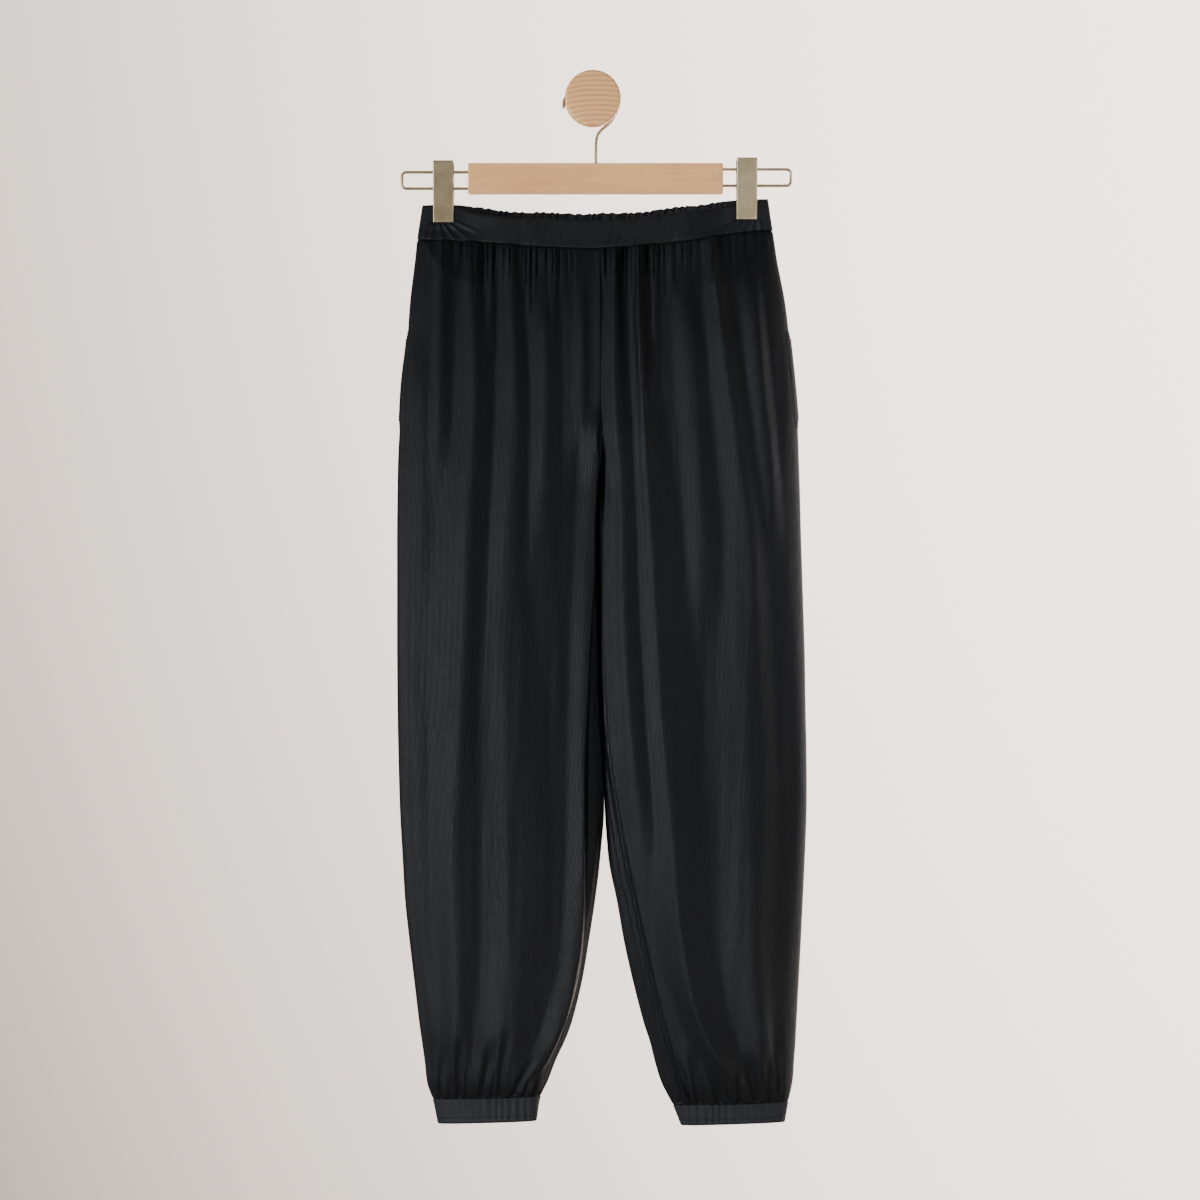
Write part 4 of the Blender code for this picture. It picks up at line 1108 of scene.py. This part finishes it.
def knit_material(name, wale, dark, light, rib):
    """Knitted viscose jersey: fine vertical wales on a dark face with a soft silky gloss."""
    material, tree, shader = new_material(
        name, Specular_IOR_Level=0.1, Sheen_Weight=0.01, Sheen_Roughness=0.4,
        Sheen_Tint=hex_colour("#B9BDC4"))
    cloth = add_node(tree, "ShaderNodeUVMap", {"uv_map": "cloth"}).outputs["UV"]
    # Wales run down the panel; drawn a little wider than the real 0.9 mm, to show.
    wales = add_node(tree, "ShaderNodeTexWave", {"wave_type": "BANDS", "bands_direction": "X"}, {
        "Vector": cloth, "Scale": 1.0 / (20.0 * wale * MM) * math.tau,
        "Distortion": 0.6, "Detail": 1.0, "Detail Scale": 1.4})
    # Streaks of uneven yarn are about 3 mm across, and six times as long down the cloth.
    down = add_node(tree, "ShaderNodeMapping", inputs={
        "Vector": cloth, "Scale": (1.0, 0.16, 1.0)}).outputs["Vector"]
    streaks = add_node(tree, "ShaderNodeTexNoise", inputs={
        "Vector": down, "Scale": 330.0, "Detail": 3.0}).outputs["Fac"]
    # Slubs in the yarn run across, with the courses, about 1.5 mm apart.
    across = add_node(tree, "ShaderNodeMapping", inputs={
        "Vector": cloth, "Scale": (0.06, 1.0, 1.0)}).outputs["Vector"]
    slubs = add_node(tree, "ShaderNodeTexNoise", inputs={
        "Vector": across, "Scale": 480.0, "Detail": 3.0}).outputs["Fac"]
    # Fuzz is 1 mm in size, and the clouds that washing leaves are 70 mm.
    fuzz = add_node(tree, "ShaderNodeTexNoise", inputs={
        "Vector": cloth, "Scale": 900.0, "Detail": 3.0})
    wash = add_node(tree, "ShaderNodeTexNoise", inputs={
        "Vector": cloth, "Scale": 14.0, "Detail": 2.0})
    clouds = add_node(tree, "ShaderNodeMapRange", inputs={
        "Value": wash.outputs["Fac"], "To Min": -0.1, "To Max": 0.3})
    yarn = add_node(tree, "ShaderNodeMath", {"operation": "ADD"}, {0: streaks, 1: slubs})
    tone = add_node(tree, "ShaderNodeMath", {"operation": "MULTIPLY_ADD"}, {
        0: yarn.outputs["Value"], 1: 0.4, 2: clouds.outputs["Result"]})
    gloss = add_node(tree, "ShaderNodeMath", {"operation": "MULTIPLY_ADD"}, {
        0: yarn.outputs["Value"], 1: 0.16, 2: 0.28})
    nap = add_node(tree, "ShaderNodeBump", inputs={
        "Height": fuzz.outputs["Fac"], "Strength": 0.25, "Distance": 0.4 * MM})
    ribbed = add_node(tree, "ShaderNodeBump", inputs={
        "Height": wales.outputs["Fac"], "Normal": nap.outputs["Normal"],
        "Strength": rib, "Distance": 0.5 * MM})
    streaked = add_node(tree, "ShaderNodeBump", inputs={
        "Height": streaks, "Normal": ribbed.outputs["Normal"],
        "Strength": 0.35, "Distance": 0.8 * MM})
    ramp = add_node(tree, "ShaderNodeValToRGB", inputs={"Fac": tone.outputs["Value"]})
    paint(tree, shader, set_colours(ramp, ((0.25, dark), (0.8, light))),
          gloss.outputs["Value"], streaked.outputs["Normal"])
    return material


def beech_material(name, end_grain):
    """Clear-lacquered beech: pale warm wood, fine pores, and growth lines."""
    material, tree, shader = new_material(
        name, Specular_IOR_Level=0.4, Coat_Weight=0.12, Coat_Roughness=0.35)
    place = add_node(tree, "ShaderNodeTexCoord").outputs["Object"]
    if end_grain:
        # The disc is cut across the trunk, whose heart lay far below it.
        spread = add_node(tree, "ShaderNodeMapping", inputs={
            "Vector": place, "Location": (-0.004, 0.0, 0.105), "Scale": (0.92, 0.02, 1.0)})
        lines = add_node(tree, "ShaderNodeTexWave", {
            "wave_type": "RINGS", "rings_direction": "SPHERICAL", "wave_profile": "SAW"}, {
            "Vector": spread.outputs["Vector"], "Scale": 62.0, "Distortion": 1.5,
            "Detail": 2.0, "Detail Scale": 0.6})
        pores_scale = (900.0, 300.0, 900.0)
    else:
        # Growth lines about 5 mm apart run along the bar.
        spread = add_node(tree, "ShaderNodeMapping", inputs={
            "Vector": place, "Scale": (0.05, 1.0, 1.0)})
        lines = add_node(tree, "ShaderNodeTexNoise", inputs={
            "Vector": spread.outputs["Vector"], "Scale": 190.0, "Detail": 4.0})
        pores_scale = (90.0, 1400.0, 1400.0)
    # Pores are 1 mm and less across, which is coarser than real ones, to show.
    pores_place = add_node(tree, "ShaderNodeMapping", inputs={
        "Vector": place, "Scale": pores_scale})
    pores = add_node(tree, "ShaderNodeTexNoise", inputs={
        "Vector": pores_place.outputs["Vector"], "Scale": 1.0, "Detail": 3.0}).outputs["Fac"]
    patches = add_node(tree, "ShaderNodeTexNoise", inputs={
        "Vector": place, "Scale": 22.0, "Detail": 2.0})
    dark_pores = add_node(tree, "ShaderNodeMapRange", inputs={
        "Value": pores, "To Min": -0.1, "To Max": 0.35})
    dull_pores = add_node(tree, "ShaderNodeMapRange", inputs={
        "Value": pores, "To Min": 0.38, "To Max": 0.58})
    grain = add_node(tree, "ShaderNodeMath", {"operation": "MULTIPLY_ADD"}, {
        0: lines.outputs["Fac"], 1: 0.55, 2: dark_pores.outputs["Result"]}).outputs["Value"]
    tone = add_node(tree, "ShaderNodeMath", {"operation": "MULTIPLY_ADD"}, {
        0: patches.outputs["Fac"], 1: 0.2, 2: grain})
    ramp = add_node(tree, "ShaderNodeValToRGB", inputs={"Fac": tone.outputs["Value"]})
    colour = set_colours(ramp, ((0.15, "#C18852"), (0.5, "#DCA86E"), (0.85, "#ECC388")))
    relief = add_node(tree, "ShaderNodeBump", inputs={
        "Height": grain, "Strength": 0.25, "Distance": 0.3 * MM})
    paint(tree, shader, colour, dull_pores.outputs["Result"], relief.outputs["Normal"])
    return material


def metal_material(name, dark, light, rough, brush, brush_scale):
    """Bare metal with the fine marks of its making along one way."""
    material, tree, shader = new_material(name, Metallic=1.0)
    place = add_node(tree, "ShaderNodeTexCoord").outputs["Object"]
    spread = add_node(tree, "ShaderNodeMapping", inputs={"Vector": place, "Scale": brush_scale})
    marks = add_node(tree, "ShaderNodeTexNoise", inputs={
        "Vector": spread.outputs["Vector"], "Scale": 1.0, "Detail": 4.0}).outputs["Fac"]
    # Tarnish lies in patches of about 17 mm.
    patches = add_node(tree, "ShaderNodeTexNoise", inputs={
        "Vector": place, "Scale": 60.0, "Detail": 3.0})
    tarnish = add_node(tree, "ShaderNodeMapRange", inputs={
        "Value": patches.outputs["Fac"], "To Min": 0.0, "To Max": 0.5})
    gloss = add_node(tree, "ShaderNodeMapRange", inputs={
        "Value": marks, "To Min": rough - 0.08, "To Max": rough + 0.1})
    tone = add_node(tree, "ShaderNodeMath", {"operation": "MULTIPLY_ADD"}, {
        0: marks, 1: 0.5, 2: tarnish.outputs["Result"]})
    ramp = add_node(tree, "ShaderNodeValToRGB", inputs={"Fac": tone.outputs["Value"]})
    relief = add_node(tree, "ShaderNodeBump", inputs={
        "Height": marks, "Strength": brush, "Distance": 0.2 * MM})
    paint(tree, shader, set_colours(ramp, ((0.3, dark), (0.7, light))),
          gloss.outputs["Result"], relief.outputs["Normal"])
    return material


def floor_material():
    """Pale matt plaster floor, faintly uneven."""
    material, tree, shader = new_material("matt plaster floor", Roughness=0.9)
    place = add_node(tree, "ShaderNodeTexCoord").outputs["Object"]
    clouds = add_node(tree, "ShaderNodeTexNoise", inputs={"Vector": place, "Scale": 3.0})
    ramp = add_node(tree, "ShaderNodeValToRGB", inputs={"Fac": clouds.outputs["Fac"]})
    paint(tree, shader, set_colours(ramp, ((0.3, "#DEDAD5"), (0.7, "#E4E1DC"))))
    return material


# --- Studio ---

LIGHT_COLOUR = "#F7F8FF"
WALL_COLOUR = "#EDDDD1"
WALL_LIGHT = 5.0
ROOM_LIGHT = 0.42
WALL_WAY = (0.9, 1.0, 0.3)
WALL_SPREAD = (0.55, 1.3)


def make_light(name, size, power, place, target, spread):
    light = bpy.data.lights.new(name, "AREA")
    light.shape = "RECTANGLE"
    light.size, light.size_y = size
    light.energy = power
    light.spread = math.radians(spread)
    light.color = hex_colour(LIGHT_COLOUR)[:3]
    lamp = linked(name, light)
    lamp.location = place
    lamp.rotation_euler = (Vector(target) - Vector(place)).to_track_quat("-Z", "Y").to_euler()


def make_world(scene):
    """Soft light from all round, brighter from the pale wall behind the hanger."""
    world = bpy.data.worlds.new("studio")
    world.use_nodes = True
    tree = world.node_tree
    background = tree.nodes["Background"]
    background.inputs["Color"].default_value = hex_colour(WALL_COLOUR)
    facing = add_node(tree, "ShaderNodeVectorMath", {"operation": "DOT_PRODUCT"}, {
        0: add_node(tree, "ShaderNodeTexCoord").outputs["Generated"], 1: WALL_WAY})
    glow = add_node(tree, "ShaderNodeMapRange", {"interpolation_type": "SMOOTHSTEP"}, {
        "Value": facing.outputs["Value"], "From Min": WALL_SPREAD[0],
        "From Max": WALL_SPREAD[1], "To Min": ROOM_LIGHT, "To Max": WALL_LIGHT})
    tree.links.new(glow.outputs["Result"], background.inputs["Strength"])
    scene.world = world


def make_studio():
    scene = bpy.context.scene
    camera = linked("camera", bpy.data.cameras.new("camera"))
    camera.location = (0.0073, -3.031, -0.518)
    camera.rotation_euler = (math.pi / 2.0, 0.0, 0.0)
    camera.data.sensor_width = 36.0
    camera.data.lens = 86.5
    scene.camera = camera
    make_world(scene)
    bpy.ops.mesh.primitive_grid_add(x_subdivisions=8, y_subdivisions=8, size=1.0)
    floor = bpy.context.object
    floor.name = "studio_floor"
    floor.data.transform(Matrix.Translation((0.0, -1.2, -1.3))
                         @ Matrix.Diagonal((3.2, 2.6, 1.0, 1.0)))
    floor.data.materials.append(floor_material())
    make_light("key", (0.9, 2.1), 375.0, (-4.3, -3.0, -0.95), (0.0, 0.0, -0.7), 180.0)
    make_light("front", (0.9, 0.3), 2.6, (0.5, -1.3, -1.25), (0.08, 0.0, -1.15), 75.0)
    make_light("fill", (0.4, 0.6), 0.8, (1.0, -1.9, -0.35), (0.2, 0.0, -0.38), 32.0)
    make_light("side", (0.5, 1.6), 9.0, (1.9, 0.6, -0.7), (0.1, 0.0, -0.6), 120.0)
    make_light("hip", (0.3, 0.4), 0.3, (1.3, 0.15, -0.28), (0.2, 0.0, -0.33), 45.0)


# --- Everything put together ---


def place(piece, slot, *nodes):
    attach(piece, "root")
    if nodes:
        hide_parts(*nodes)
    return piece


def main():
    make_studio()
    jersey = knit_material("viscose jersey", 1.25, "#050709", "#0D1013", 0.35)
    # Painted light: the waistband is the body's own black jersey, drawn in lighter colours to stand
    # in for the light that falls on the band.
    band_jersey = knit_material("waistband jersey painted lighter", 1.25, "#0D0F12", "#181B1F", 0.35)
    # Painted light: the cuffs are the same black yarn, drawn lighter than the body to stand in for
    # the brighter light at the hems.
    cuff_jersey = knit_material("cuff jersey painted lighter", 1.4, "#14161A", "#212428", 0.45)
    thread = knit_material("polyester thread", 0.5, "#1B1C1F", "#34363A", 0.3)
    bar_beech = beech_material("lacquered beech along the grain", False)
    peg_beech = beech_material("turned beech end grain", True)
    brass = metal_material("drawn brass wire", "#9C8B6C", "#C4B696", 0.3, 0.1,
                           (400.0, 400.0, 400.0))
    clip_brass = metal_material("brushed brass sheet", "#8E8568", "#B5AC8C", 0.42, 0.3,
                                (1800.0, 1800.0, 60.0))
    steel = metal_material("spring steel wire", "#77746C", "#9C988E", 0.32, 0.1,
                           (500.0, 500.0, 500.0))
    for half in (RIGHT, LEFT):
        for face in ("front", "back"):
            node = f"{face}_{half.name}"
            place(make_panel(half, face, jersey), "jersey", node)
        node = f"cuff_{half.name}"
        place(make_cuff(half, cuff_jersey), "cuff_jersey", node)
    for face in ("front", "back"):
        node = f"waistband_{face}"
        place(make_waistband(face, band_jersey), "waistband_jersey", node)
    tree, keys = stitch_tree()
    sewing = {half.name: make_pocket_sewing(half, tree, keys, thread) for half in (RIGHT, LEFT)}
    for piece in sewing["right"] + sewing["left"]:
        place(piece, "jersey")
    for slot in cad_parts["hanger_bar"].material_slots:
        slot.material = bar_beech
    place(make_peg(peg_beech), "peg_beech", "wall_peg")
    for side in ("right", "left"):
        place(make_wire_loop(side, brass), "brass_wire", f"hanger_wire_{side}")
    place(make_hook(brass), "brass_wire", "hanger_hook")
    for clip in CLIPS:
        for face in ("front", "back"):
            place(make_clip_plate(clip, face, clip_brass), "clip_brass", f"{clip.name}_{face}")
        place(make_clip_spring(clip, steel), "spring_steel", f"{clip.name}_spring")


main()
